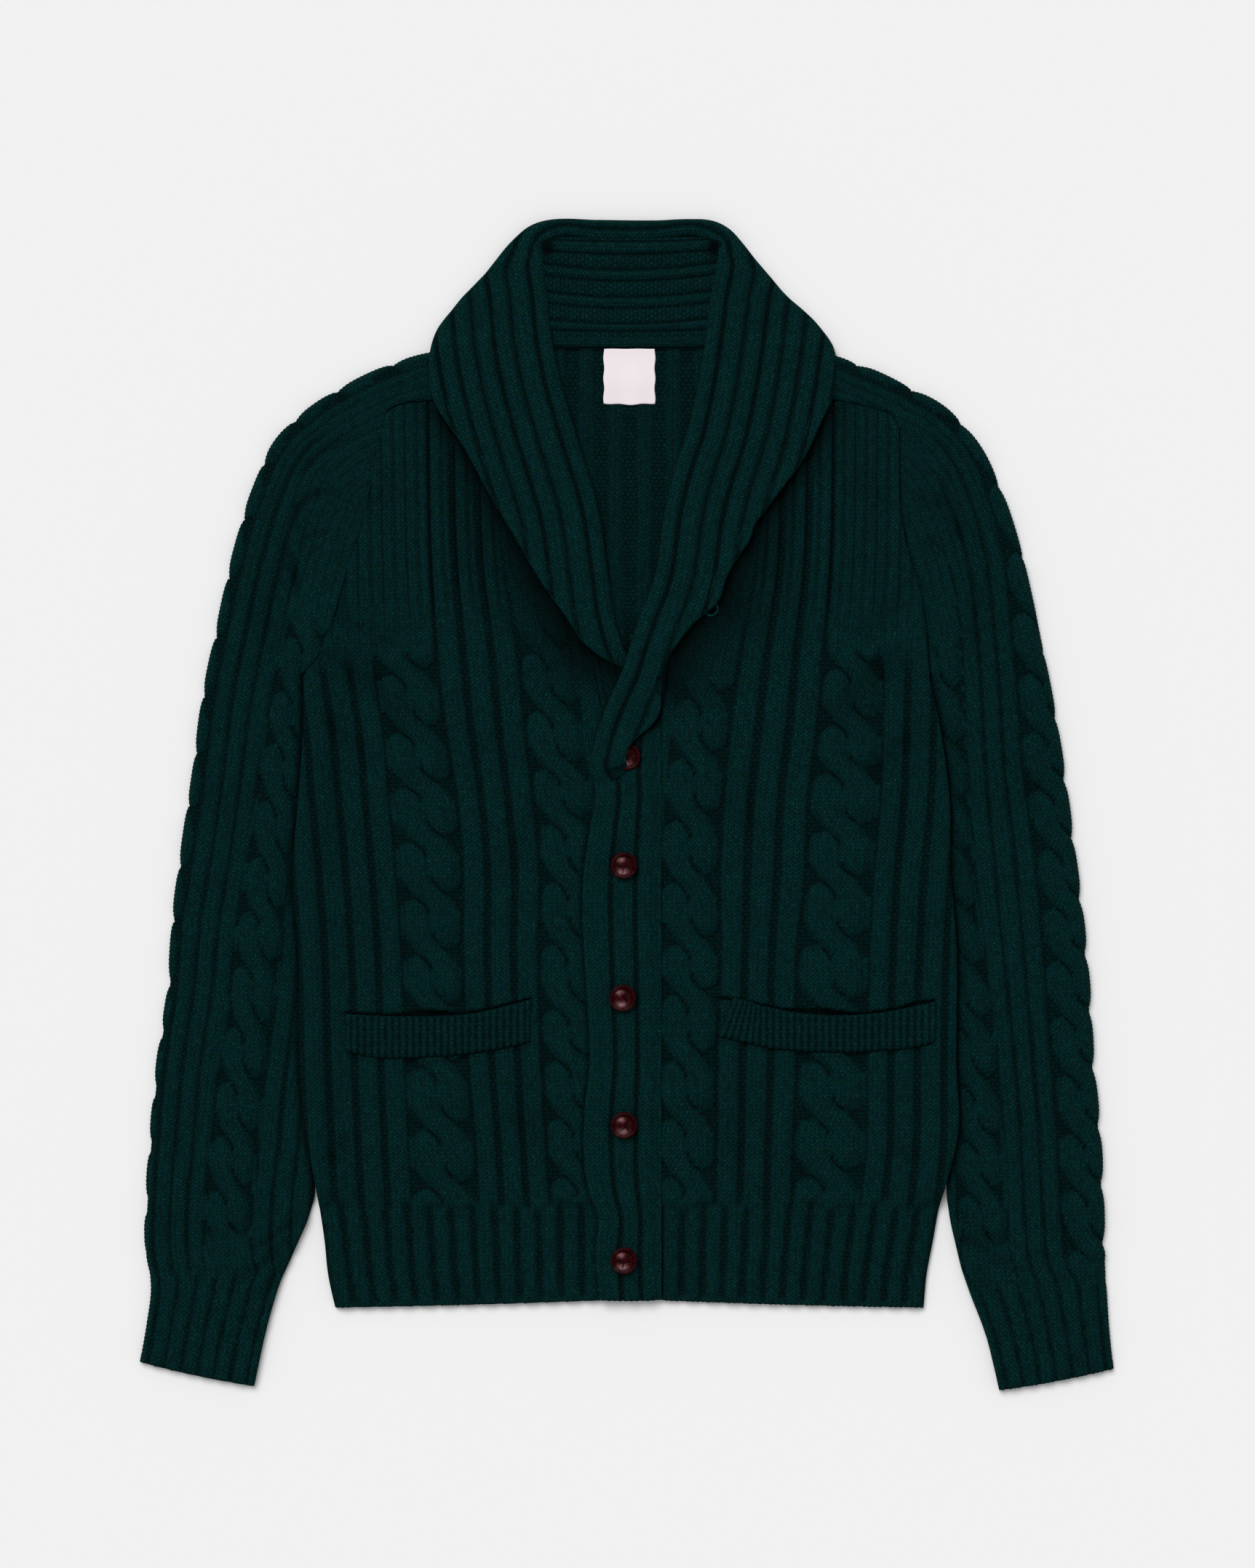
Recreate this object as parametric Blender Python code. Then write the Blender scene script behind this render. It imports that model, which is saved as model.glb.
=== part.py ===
# A cable-knit shawl collar cardigan, laid flat on its back with its front up.
# +X is the wearer's left, +Y the collar, -Y the hem, +Z up; it lies on z = 0.
# Every piece is a cloth wall of its own, given by an outline, by the lines of its
# ribs and cables, and by the height at which its cloth lies.
# All sizes below are in millimetres, and the meshes are made in metres.

import math

import bpy
from mathutils import Vector
from mathutils.geometry import delaunay_2d_cdt

MM = 0.001

# ---------------------------------------------------------------- driving sizes
WALL = 2.7                    # plain knit, without its ribs
GAP = 0.35                    # between cloths that touch
UPPER = WALL + GAP            # underside of the upper cloth of two
TWO_LAYERS = UPPER + WALL
RIB = 1.6                     # how far a rib stands out of the wall
CABLE = 3.0                   # how far a cable stands out of the wall
BODY_LIFT = TWO_LAYERS + GAP  # the body's side over the sleeve tucked under it
TUCK = 10.0                   # width of the sleeve that is tucked
LIFT_RAMP = 22.0
EDGE_BOW = 1.2                # how far hem and cuff edges bow out
SEAM = 0.2                    # half the gap between two cloths at a seam

CABLE_PERIOD = 41.5           # from one crossing to the next
CABLE_COLUMNS = 7
CABLE_STEP = 6.9
RIB_STEP = 32.0
COLLAR_STEP = 14.0            # shorter, as the collar falls away at the shoulders
CREST = ((0.0, 0.0), (0.28, RIB), (0.72, RIB))  # shares across a rib, and how far they rise
RIB_PITCH = 19.5              # from rib to rib on the body
SLEEVE_PITCH = 14.6
CREASE_WIDTH = 4.5
HEM_TOP = -299.0
FRONT_HEM = -368.5            # lower edge at the band
BACK_HEM = -367.0
HEM_RIBS = 13
CUFF_RIBS = 7
COLLAR_PITCH = 15.4
COLLAR_FIRST = 11.0           # from the roll to the first trough
COLLAR_RIBS = 6
LAPEL_PLAIN = 40.0            # the lapel's end below this height has no ribs

BAND_SEAM = 26.4              # where the band over meets the left front
UNDER_SEAM = -16.0            # where the band under meets the right front
FALL = 2 * UPPER + 1.6        # underside of the collar fall, above the ribs
BUTTON_RADIUS = 10.0
BUTTON_HEIGHT = 6.0
BUTTONS_XY = ((1.3, 34.4), (-1.0, -46.0), (-2.0, -144.0), (-1.0, -238.0), (-1.0, -338.0))

KNIT = (0.0035, 0.0115, 0.0110)
LEATHER = (0.040, 0.011, 0.012)
SATIN = (0.84, 0.80, 0.81)

# ---------------------------------------------------------------- tables
# Body side edge, from hem to underarm.
SIDE = (
    ("y", "right", "left"), (
        (-371.5, -215, 221), (-351, -220, 223), (-324, -223, 228), (-297, -227, 233),
        (-289, -228, 236), (-281, -229.5, 237.5), (-273, -231, 239), (-246, -236, 246),
        (-192, -241, 245), (-106, -242, 245), (-52, -246, 241), (2, -242, 240),
        (50, -238.5, 234), (94, -238, 225)))

# Armhole seam, from underarm to shoulder corner, then the saddle seam to the neck.
ARMHOLE = {
    "right": ((-238, 94), (-227, 110), (-217.5, 134), (-212, 154), (-204, 181), (-194, 208),
              (-188.5, 240), (-183, 262), (-178, 288), (-172, 293.5), (-162, 296), (-140, 298.5),
              (-100, 303)),
    "left": ((225, 94), (223, 120), (220.5, 148), (215, 170), (207.5, 194), (204, 218),
             (203.5, 245), (203, 280), (197, 287.5), (184, 292.5), (157, 298), (100, 303))}

# Neck edge of each front, hidden under the collar fall, from shoulder to band.
NECK = {
    "right": ((-96, 303.4), (-92, 272), (-75, 218), (-49, 164), (-25, 112), (-16, 62)),
    "left": ((96, 303.4), (92, 272), (75, 218), (52, 164), (31, 112), (26.4, 62))}

# Wale lines of each front: where the two cables end, measured from the centre.
FRONT_WALES = {
    "right": (("y", "cable_1_out", "cable_2_in", "cable_2_out"), (
        (-299, -54, -110, -156), (-246, -58, -113, -159), (-203, -60, -117, -161),
        (-106, -63, -122, -164), (-52, -62, -122, -168), (2, -67, -126, -173),
        (56, -73, -135, -178), (110, -78, -141, -186), (164, -87, -145, -188), (300, -92, -148, -190))),
    "left": (("y", "cable_1_out", "cable_2_in", "cable_2_out"), (
        (-299, 65, 124, 172), (-246, 66, 126, 177), (-203, 66, 128, 177),
        (-106, 69, 129, 179), (-52, 68, 135, 182), (2, 71, 137, 187),
        (56, 76, 144, 189), (110, 84, 148, 190), (164, 94, 153, 193), (300, 98, 156, 195)))}
CABLE_1_WIDTH = 41.0
CABLE_2_TOP = 118.0
CABLE_1_TOP = {"right": 150.0, "left": 95.0}
CABLE_PHASE = {"right": 20.0, "left": 27.0}

# Fold of each sleeve, from its cuff over the shoulder to the neck end of its strap.
# edge is how far in from the fold the rib next to the cable on it starts, and
# inner how far in the second cable starts.
SLEEVE_FOLD = {
    "right": (("x", "y", "edge", "inner"), (
        (-360, -414, 2, 37), (-355, -385, 4, 40), (-352, -360, 6, 42), (-356, -330, 1, 44),
        (-355, -289, 2, 44), (-352, -246, 3, 46), (-347, -192, 3, 46), (-339, -138, 5, 46),
        (-335, -84, 7, 48), (-328, -30, 9, 50), (-320, 24, 9, 49), (-313, 78, 8, 50),
        (-302, 132, 8, 49), (-290, 186, 8, 49), (-276, 232, 8, 50), (-258, 270, 8, 50),
        (-236, 291, 8, 48), (-206, 310, 8, 44), (-176, 324, 8, 40), (-146, 333, 8, 36),
        (-118, 336, 8, 34))),
    "left": (("x", "y", "edge", "inner"), (
        (362, -419, 2, 37), (359, -390, 4, 40), (357, -360, 6, 42), (355, -330, 28, 72),
        (354, -289, 32, 73), (352, -246, 31, 73), (347, -192, 31, 72), (344, -138, 32, 75),
        (339, -84, 31, 77), (332, -30, 29, 75), (325, 24, 30, 72), (316, 78, 25, 66),
        (305, 132, 19, 58), (293, 186, 13, 54), (278, 232, 10, 52), (262, 265, 8, 50),
        (238, 292, 8, 48), (208, 309, 8, 44), (178, 323, 8, 40), (150, 332, 8, 36),
        (122, 335, 8, 34)))}
SLEEVE_CABLE = 35.0
CUFF_START = 66.0
SLEEVE_CABLE_END = {"right": 88.0, "left": 92.0}
SLEEVE_CABLE_START = {"right": 480.0, "left": 490.0}

# Inner edge of each sleeve below the body, from the notch at the hem to the cuff.
SLEEVE_INNER = {
    "right": ((-230, -291), (-236, -311), (-248, -338), (-256, -355), (-263, -378), (-268, -398),
              (-275, -432)),
    "left": ((238, -291), (241, -311), (249, -345), (256, -365), (264, -385), (269, -400),
             (277, -435))}

# The crease along which each sleeve folds under the body, above the underarm.
CREASE = {
    "right": ((-238.5, 94), (-239, 132), (-242, 154), (-247, 175), (-248, 194)),
    "left": ((225, 94), (224.5, 137), (224, 164), (224, 186), (224, 194))}

# Rolled edge of the collar, from the end of its lapel to the back neck corner.
ROLL = {
    "right": ((-2.5, 107), (-2.6, 112), (-8, 138), (-12, 164), (-20, 218), (-36, 272), (-47, 310),
              (-52, 334), (-54, 344), (-57.5, 378), (-60, 413), (-62, 426)),
    "left": ((-26, 24), (-23, 45), (-14, 72), (-1, 102), (3.2, 116), (11, 139), (20.5, 164),
             (29.5, 218), (39, 255), (45.5, 274), (53, 307), (57.8, 334), (59.3, 345), (63.5, 378),
             (67.5, 410), (68, 427))}

# Outline of the collar fall from that corner, round its shoulder fold, down its edge.
FALL_EDGE = {
    "right": ((-67, 431.5), (-82, 418), (-95, 405), (-105, 391), (-119, 378), (-130, 364),
              (-140, 351), (-144.5, 337), (-146, 322), (-142, 298), (-121, 266), (-102, 231),
              (-83, 199), (-62.5, 164), (-42, 135), (-32, 120), (-18, 108), (-9, 98.5), (-5.5, 95.5)),
    "left": ((69, 431.5), (84, 418), (95, 405), (107, 391), (118, 378), (134, 364), (146, 351),
             (155, 337), (156.5, 322), (153, 299), (146, 284.5), (132.4, 255.4), (115.7, 232.6),
             (103.3, 216), (96, 206.5), (93, 196), (82.4, 180.6), (74.3, 166), (70.5, 151.5),
             (50.3, 132.8), (36.8, 117.5), (22, 98.8), (24.6, 83.4), (27, 69.4), (20.8, 58.6),
             (6.8, 46.7), (-0.8, 38), (-1.5, 25), (-12, 13))}
STAND_BOTTOM = {"right": 112.0, "left": 116.0}
STAND_TOP = 334.0
STAND_SEAM = {
    "right": ((-90, 334), (-95.5, 303), (-91.5, 272), (-74.5, 218), (-48.5, 164), (-24.4, 112)),
    "left": ((90, 334), (95.5, 303), (91.5, 272), (74.5, 218), (51.5, 164), (32.0, 116))}

# The back of the collar: its inner face shows from the neck seam up to the roll.
BACK_ROLL = ((-64, 428), (-50, 432.8), (-22, 432.4), (22, 432), (50, 432.8), (66, 428.5))
BACK_ROLL_DEPTH = 3.2
STAND_SIDES = {
    "right": ((-66, 416), (-76, 396), (-90, 366), (-93.9, 352.8), (-98, 338.6)),
    "left": ((98, 338.6), (94.4, 352.8), (91, 366), (78, 396), (68, 416))}
BACK_FALL_EDGE = ((-71, 423), (-80, 416.5), (-93, 403.5), (-103, 389.5), (-117, 376.5),
                  (-128, 362.5), (-135, 354), (0, 353), (140.5, 354), (132, 362.5),
                  (116, 376.5), (105, 389.5), (93, 403.5), (82, 416.5), (73, 422.8))
BACK_RIB_LINES = (424, 410, 390, 369, 355)

# Free edge of the band over, from the hem to the lapel.
BAND_EDGE = (
    ("y", "x"), (
        (-367.5, -19), (-332, -22), (-305, -20.5), (-290, -26.5), (-241, -31), (-187, -26.5),
        (-133, -29.5), (-52, -31), (-19, -26.5), (2, -22.5), (24, -24), (45, -21.5), (72, -12),
        (100, 0.8), (110, 4)))

# Pocket welts: x, lower edge and upper edge.
WELTS = {
    "right": ((-208, -184, -156.5), (-190, -188, -157.5), (-140, -188, -158), (-113, -185.5, -156),
              (-86, -181, -150), (-69, -177, -145.5)),
    "left": ((68, -173, -144.5), (79, -175.5, -146), (103, -181, -151), (130, -184, -156),
             (157, -185, -157.5), (184, -184, -156), (211, -181.5, -151.5), (230, -177, -146.5))}
WELT_RIBS = 20
WELT_RIB = 0.8

LABEL = (-16.0, 22.0, 296.5, 337.0)
LOOP_CENTRE = (63.3, 144.1)   # both its ends come out of the collar's edge
TAPE = ((-64, 339.2), (0, 338.4), (66, 339.2), (66, 346.5), (0, 345.7), (-64, 346.5))


# ---------------------------------------------------------------- small sums
def smooth(t):
    t = min(max(t, 0.0), 1.0)
    return t * t * (3 - 2 * t)


def lerp(a, b, t):
    return a + (b - a) * t


def read(table, name, y):
    """A named column of a table at height y, straight between its rows."""
    names, rows = table
    c = names.index(name)
    k = names.index("y")
    rows = sorted(rows, key=lambda row: row[k])
    if y <= rows[0][k]:
        return rows[0][c]
    for low, high in zip(rows, rows[1:]):
        if y <= high[k]:
            return lerp(low[c], high[c], (y - low[k]) / (high[k] - low[k]))
    return rows[-1][c]


def x_on(line, y):
    """Where a line of (x, y) points passes height y."""
    return read((("x", "y"), line), "x", y)


def area(outline):
    return 0.5 * sum(a[0] * b[1] - b[0] * a[1] for a, b in zip(outline, outline[1:] + outline[:1]))


def inside(x, y, outline):
    odd = False
    for a, b in zip(outline, outline[1:] + outline[:1]):
        if (a[1] > y) != (b[1] > y) and x < lerp(a[0], b[0], (y - a[1]) / (b[1] - a[1])):
            odd = not odd
    return odd


def distance(x, y, line):
    """From a point to the nearest stretch of a line."""
    best = 1e9
    for a, b in zip(line, line[1:]):
        ux, uy = b[0] - a[0], b[1] - a[1]
        t = ((x - a[0]) * ux + (y - a[1]) * uy) / max(ux * ux + uy * uy, 1e-9)
        t = min(max(t, 0.0), 1.0)
        best = min(best, math.hypot(x - a[0] - ux * t, y - a[1] - uy * t))
    return best


def normals(line):
    """Unit normals to the right of a line, one for each point."""
    found = []
    for i in range(len(line)):
        a, b = line[max(i - 1, 0)], line[min(i + 1, len(line) - 1)]
        ux, uy = b[0] - a[0], b[1] - a[1]
        size = math.hypot(ux, uy)
        found.append((uy / size, -ux / size))
    return found


def offset(line, gap):
    """The line moved to its right by gap."""
    return [(p[0] + n[0] * gap, p[1] + n[1] * gap) for p, n in zip(line, normals(line))]


def resample(line, step):
    """The line with points at about even steps along it."""
    lengths = [0.0]
    for a, b in zip(line, line[1:]):
        lengths.append(lengths[-1] + math.hypot(b[0] - a[0], b[1] - a[1]))
    count = max(1, round(lengths[-1] / step))
    return [point_at(line, lengths, lengths[-1] * i / count) for i in range(count + 1)]


def point_at(line, lengths, s):
    for i in range(len(line) - 1):
        if s <= lengths[i + 1] or i == len(line) - 2:
            t = (s - lengths[i]) / max(lengths[i + 1] - lengths[i], 1e-9)
            return tuple(lerp(p, q, t) for p, q in zip(line[i], line[i + 1]))


# ---------------------------------------------------------------- cloth walls
class Cloth:
    """One closed wall of cloth, gathered from flat sheets and the rims between them.

    A point is (x, y) or (x, y, relief), where relief is how far the knit stands out.
    """

    def __init__(self, name, colour=KNIT, roughness=0.9):
        self.name, self.colour, self.roughness = name, colour, roughness
        self.found, self.points, self.faces = {}, [], []

    def vertex(self, x, y, z):
        key = (round(x, 3), round(y, 3), round(z, 3))
        if key not in self.found:
            self.found[key] = len(self.points)
            self.points.append((x * MM, y * MM, z * MM))
        return self.found[key]

    def face(self, a, b, c):
        if len({a, b, c}) == 3:
            self.faces.append((a, b, c))

    def sheet(self, outline, lines, height, up):
        """Triangles over an outline, with edges along the given lines."""
        given, places, reliefs, edges = [], [], [], []
        for chain, closed in [(outline, True)] + [(line, False) for line in lines]:
            first = len(places)
            given += [tuple(p[:2]) for p in chain]
            places += [Vector(p[:2]) for p in chain]
            reliefs += [p[2] if len(p) > 2 else 0.0 for p in chain]
            edges += [(first + i, first + i + 1) for i in range(len(chain) - 1)]
            if closed:
                edges.append((first + len(chain) - 1, first))
        spots, _, triangles, sources, _, _ = delaunay_2d_cdt(places, edges, [], 0, 1e-5)
        index = []
        for spot, source in zip(spots, sources):
            x, y = given[source[0]] if source else (spot.x, spot.y)
            relief = max((reliefs[s] for s in source), default=0.0)
            index.append(self.vertex(x, y, height((x, y, relief))))
        for a, b, c in triangles:
            middle = (spots[a] + spots[b] + spots[c]) / 3
            if not inside(middle.x, middle.y, outline):
                continue
            turn = (spots[b] - spots[a]).cross(spots[c] - spots[a])
            if abs(turn) < 1e-7:
                continue
            if (turn > 0) != up:
                b, c = c, b
            self.face(index[a], index[b], index[c])

    def rim(self, path, stacks, turned=False):
        """Upright faces along a path; a stack is the list of heights at each point."""
        columns = [[self.vertex(p[0], p[1], height(p)) for height in stack]
                   for p, stack in zip(path, stacks)]
        for left, right in zip(columns, columns[1:]):
            i = j = 0
            while i < len(left) - 1 or j < len(right) - 1:
                further = (j + 1) * (len(left) - 1) <= (i + 1) * (len(right) - 1)
                if j < len(right) - 1 and (i == len(left) - 1 or further):
                    corner = (left[i], right[j], right[j + 1])
                    j += 1
                else:
                    corner = (left[i], right[j], left[i + 1])
                    i += 1
                self.face(*(reversed(corner) if turned else corner))

    def build(self):
        mesh = bpy.data.meshes.new(self.name)
        mesh.from_pydata(self.points, [], self.faces)
        mesh.update()
        thing = bpy.data.objects.new(self.name, mesh)
        bpy.context.scene.collection.objects.link(thing)
        mesh.materials.append(material(self.name, self.colour, self.roughness))
        return thing


def material(name, colour, roughness):
    made = bpy.data.materials.new(name)
    made.use_nodes = True
    shader = made.node_tree.nodes["Principled BSDF"]
    shader.inputs["Base Color"].default_value = (*colour, 1)
    shader.inputs["Roughness"].default_value = roughness
    shader.inputs["Metallic"].default_value = 0.0
    return made


def panel(name, outline, lines, plain, bottom, top, **looks):
    """A single cloth with an outline, the lines of its upper and of its plain side."""
    cloth = Cloth(name, **looks)
    if area(outline) < 0:
        outline = outline[::-1]
    cloth.sheet(outline, lines, top, True)
    cloth.sheet(outline, plain, bottom, False)
    ring = outline + outline[:1]
    cloth.rim(ring, [(bottom, top)] * len(ring))
    return cloth.build()


def folded(name, fold, inner_fold, upper, lower, heights, lines, shared, notched, **looks):
    """Two cloths joined along a fold, the fold line running from its first point on.

    upper and lower go on from the fold's end, back to its start. heights holds the
    bottom, floor, roof and top of the stack, where floor and roof bound the hollow.
    lines run in the top sheet and shared lines in those of the three under it that they
    cross. notched says that the upper cloth reaches past both ends of the fold.
    """
    bottom, floor, roof, top = heights
    cloth = Cloth(name, **looks)
    turned = area(list(fold) + list(upper)) < 0
    start, end = fold[0], fold[-1]
    hollow = [start] + inner_fold + [end] + upper if notched else inner_fold + upper[1:-1]
    cloth.sheet(fold + upper, lines, top, True)
    for outline, height, up in ((fold + lower, bottom, False), (hollow, roof, False),
                                (inner_fold + lower[1:-1], floor, True)):
        crossing = [line for line in shared if any(inside(p[0], p[1], outline) for p in line)]
        cloth.sheet(outline, crossing, height, up)
    ends = (bottom, roof, top) if notched else (bottom, top)
    cloth.rim(fold, [ends] + [(bottom, top)] * (len(fold) - 2) + [ends], turned)
    cloth.rim(inner_fold[::-1], [(floor, roof)] * len(inner_fold), turned)
    if notched:
        path = [end] + upper + [start]
        cloth.rim(path, [(roof, top)] * len(path), turned)
        short, full = (bottom, roof), (bottom, floor, roof)
    else:
        cloth.rim(upper, [(roof, top)] * len(upper), turned)
        short, full = (bottom, top), (bottom, floor, roof, top)
    cloth.rim(lower, [(bottom, floor)] * len(lower), turned)
    cloth.rim([end, lower[0]], [short, full], turned)
    cloth.rim([lower[-1], start], [full, short], turned)
    return cloth.build()


def clipped(line, outline, blocks, clear, step):
    """The runs of a line that keep clear of an outline and of other lines, in steps."""
    fences = [outline + outline[:1]] + blocks
    runs, run = [], []
    for p in resample(line, 4.0):
        free = inside(p[0], p[1], outline)
        free = free and all(distance(p[0], p[1], fence) > clear for fence in fences)
        if free:
            run.append(p)
        else:
            runs.append(run)
            run = []
    runs.append(run)
    return [resample(run, step) for run in runs if len(run) > 2]


# ---------------------------------------------------------------- knit patterns
def cable_relief(across, along):
    """Height of a two-strand rope from 0 to 1; across runs -1 to 1, along in crossings."""
    phase = along - math.floor(along)
    swap = smooth((phase - 0.12) / 0.76)
    over, under = lerp(-0.5, 0.5, swap), lerp(0.5, -0.5, swap)
    sunk = 1 - 0.55 * math.sin(math.pi * phase) ** 2

    def strand(centre, tall):
        t = (across - centre) / 0.52
        return tall * math.sqrt(max(0.0, 1 - t * t))
    return max(strand(over, 1.0), strand(under, sunk))


def cable_lines(left, right, low, high, phase, tall):
    """Columns of points across a cable between its two edges, from high to low."""
    lines = []
    rows = int((high - low) / CABLE_STEP)
    for i in range(CABLE_COLUMNS + 1):
        t = i / CABLE_COLUMNS
        column = []
        for j in range(rows + 1):
            y = high - j * CABLE_STEP
            x = lerp(left(y), right(y), t)
            rise = cable_relief(2 * t - 1, (phase - y) / CABLE_PERIOD)
            column.append((x, y, tall * rise * smooth(j / 2)))
        lines.append(column)
    return lines


def kept(column, outline, blocks, clear):
    """The runs of a column of points that keep clear, with their points unmoved."""
    fences = [outline + outline[:1]] + blocks
    runs, run = [], []
    for p in column:
        if inside(p[0], p[1], outline) and all(distance(p[0], p[1], f) > clear for f in fences):
            run.append(p)
        else:
            runs.append(run)
            run = []
    return [run for run in runs + [run] if len(run) > 1]


# ---------------------------------------------------------------- body
def body_lift(x, y):
    """How high the body rides at its sides, over the sleeve tucked under it."""
    side = "left" if x > 0 else "right"
    depth = abs(read(SIDE, side, y)) - abs(x)
    across = min(max(1 - (depth - TUCK - 1) / LIFT_RAMP, 0.0), 1.0)
    return BODY_LIFT * across * smooth((y + 303) / 19) * (1 - smooth((y - 98) / 100))


def lift_lines(side, outline):
    """Lines along the body's side between which its lift is straight."""
    sign = 1 if side == "left" else -1
    heights = [row[0] for row in SIDE[1] if -310 < row[0] < 94]
    heights = [-324] + heights + [94, 120, 146, 172, 200]
    lines = []
    for ramp in (0, LIFT_RAMP):
        line = [(read(SIDE, side, y) - sign * (TUCK + 1 + ramp), y) for y in heights]
        lines += kept(line, outline, [], 2.0)
    return lines


def side_line(side, low, high):
    rows = [row for row in SIDE[1] if low <= row[0] <= high]
    column = SIDE[0].index(side)
    return [(row[column], row[0]) for row in rows]


def hem_edge(x_from, x_to, low_from, low_to, ribs):
    """The hem's lower edge, with each rib's crest and trough in its profile."""
    points = []
    for i in range(2 * ribs + 1):
        t = i / (2 * ribs)
        y = lerp(low_from, low_to, t) - EDGE_BOW * math.sin(math.pi * t)
        points.append((lerp(x_from, x_to, t), y, RIB if i % 2 else 0.0))
    return points


def hem_lines(x_at, ribs, low, high):
    """Crest and trough lines of a ribbed edge; x_at gives x from a share and a height."""
    lines = []
    for i in range(1, 2 * ribs):
        relief = RIB if i % 2 else 0.0
        heights = (high - 3, lerp(low, high, 0.5), low + 4)
        lines.append([(*x_at(i / (2 * ribs), y), relief) for y in heights])
    return lines


def front(side):
    sign = 1 if side == "left" else -1
    seam = BAND_SEAM if side == "left" else UNDER_SEAM
    low = FRONT_HEM
    corner = side_line(side, -400, -370)[0]
    wales = FRONT_WALES[side]
    neck = [(x + sign * SEAM, y) for x, y in NECK[side]]
    arm = offset(ARMHOLE[side], -SEAM * sign)
    edge = side_line(side, -355, 60)
    outline = hem_edge(seam + sign * SEAM, corner[0], low, corner[1], HEM_RIBS)
    outline += edge + arm[:-1] + neck

    if side == "right":
        fence = [(x - 1.6, y, 0.0) for x, y in ((read(BAND_EDGE, "x", y), y) for y in
                 (-362, -332, -305, -290, -241, -187, -133, -52, -19, 2, 24, 40))]
    else:
        fence = []
    welt = [(x, low_y - 1.6, 0.0) for x, low_y, _ in WELTS[side]]
    welt += [(x, high_y + 4.0, 0.0) for x, _, high_y in reversed(WELTS[side])]
    welt += welt[:1]
    blocks = [welt] + ([fence] if fence else [])
    covered = FALL_EDGE[side]

    def capped(x, y, relief):
        if inside(x, y, welt):
            return 0.0
        if side == "right" and x > read(BAND_EDGE, "x", y) - (1.4 if y > low + 7 else 7.0):
            return 0.0
        fall = list(covered) + list(reversed(ROLL[side]))
        if inside(x, y, fall) or distance(x, y, covered) < 9:
            return min(relief, RIB)
        return relief

    def wale(name):
        return lambda y: read(wales, name, y)

    ribs = []
    marks = [(i + share, relief) for i in range(4) for share, relief in CREST]
    for k, relief in marks:
        if k <= 3:
            ribs.append((lambda y, t=k / 3: lerp(wale("cable_1_out")(y), wale("cable_2_in")(y), t), relief))
        ribs.append((lambda y, k=k: wale("cable_2_out")(y) + sign * k * RIB_PITCH, relief))

    lines = [fence] if fence else []
    lines.append(welt)
    high = 292.0
    for x_at, relief in ribs:
        top = high if abs(x_at(0)) < 150 else 112.0
        heights = [top - i * 16 for i in range(int((top - HEM_TOP) / 16) + 1)]
        line = [(x_at(y), y, relief) for y in heights]
        for run in clipped(line, outline, blocks, 2.4, RIB_STEP):
            lines.append([(x, y, capped(x, y, r)) for x, y, r in run])
    cables = ((lambda y: wale("cable_2_in")(y) + sign * 1.5,
               lambda y: wale("cable_2_out")(y) - sign * 1.5, CABLE_2_TOP),
              (lambda y: wale("cable_1_out")(y) - sign * (CABLE_1_WIDTH - 3),
               lambda y: wale("cable_1_out")(y) - sign * 1.5, CABLE_1_TOP[side]))
    for first, second, top in cables:
        left, right = (second, first) if sign < 0 else (first, second)
        for column in cable_lines(left, right, HEM_TOP + 6, top, CABLE_PHASE[side], CABLE):
            for run in kept(column, outline, blocks, 2.4):
                lines.append([(x, y, capped(x, y, r)) for x, y, r in run])

    def hem_x(t, y):
        return lerp(seam, read(SIDE, side, y), t), y
    for line in hem_lines(hem_x, HEM_RIBS, low, HEM_TOP - 2):
        if side == "right":
            line = [p for p in line if distance(p[0], p[1], fence) > 2.4]
        if len(line) > 1:
            lines.append([(x, y, capped(x, y, r)) for x, y, r in line])

    def bottom(p):
        return UPPER + body_lift(p[0], p[1])

    def top(p):
        return bottom(p) + WALL + capped(p[0], p[1], p[2] if len(p) > 2 else 0.0)
    return panel("front_" + side, outline, lines, lift_lines(side, outline), bottom, top)


def back():
    right, left = (side_line(side, -372, 60) for side in ("right", "left"))
    right[0], left[0] = (right[0][0], BACK_HEM), (left[0][0], BACK_HEM)
    arm_right, arm_left = offset(ARMHOLE["right"], SEAM), offset(ARMHOLE["left"], -SEAM)
    outline = left + arm_left + [(96, 334.5), (-94, 334.5)] + arm_right[::-1] + right[::-1]
    lines = lift_lines("right", outline) + lift_lines("left", outline)

    def bottom(p):
        return body_lift(p[0], p[1])

    def top(p):
        return bottom(p) + WALL
    return panel("back", outline, lines, lines, bottom, top)


# ---------------------------------------------------------------- sleeves
def fold_frame(side):
    """Points, normals and distances along a sleeve's fold, from cuff to neck."""
    rows = SLEEVE_FOLD[side][1]
    line = [(row[0], row[1]) for row in rows]
    sign = 1 if side == "right" else -1
    inward = [(nx * sign, ny * sign) for nx, ny in normals(line)]
    lengths = [0.0]
    for a, b in zip(line, line[1:]):
        lengths.append(lengths[-1] + math.hypot(b[0] - a[0], b[1] - a[1]))
    return rows, line, inward, lengths


def on_sleeve(side, s, depth):
    """The point at distance s along the fold and depth in from it."""
    _, line, inward, lengths = fold_frame(side)
    x, y = point_at(line, lengths, s)
    nx, ny = point_at(inward, lengths, s)
    size = math.hypot(nx, ny)
    return x + nx / size * depth, y + ny / size * depth


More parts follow.
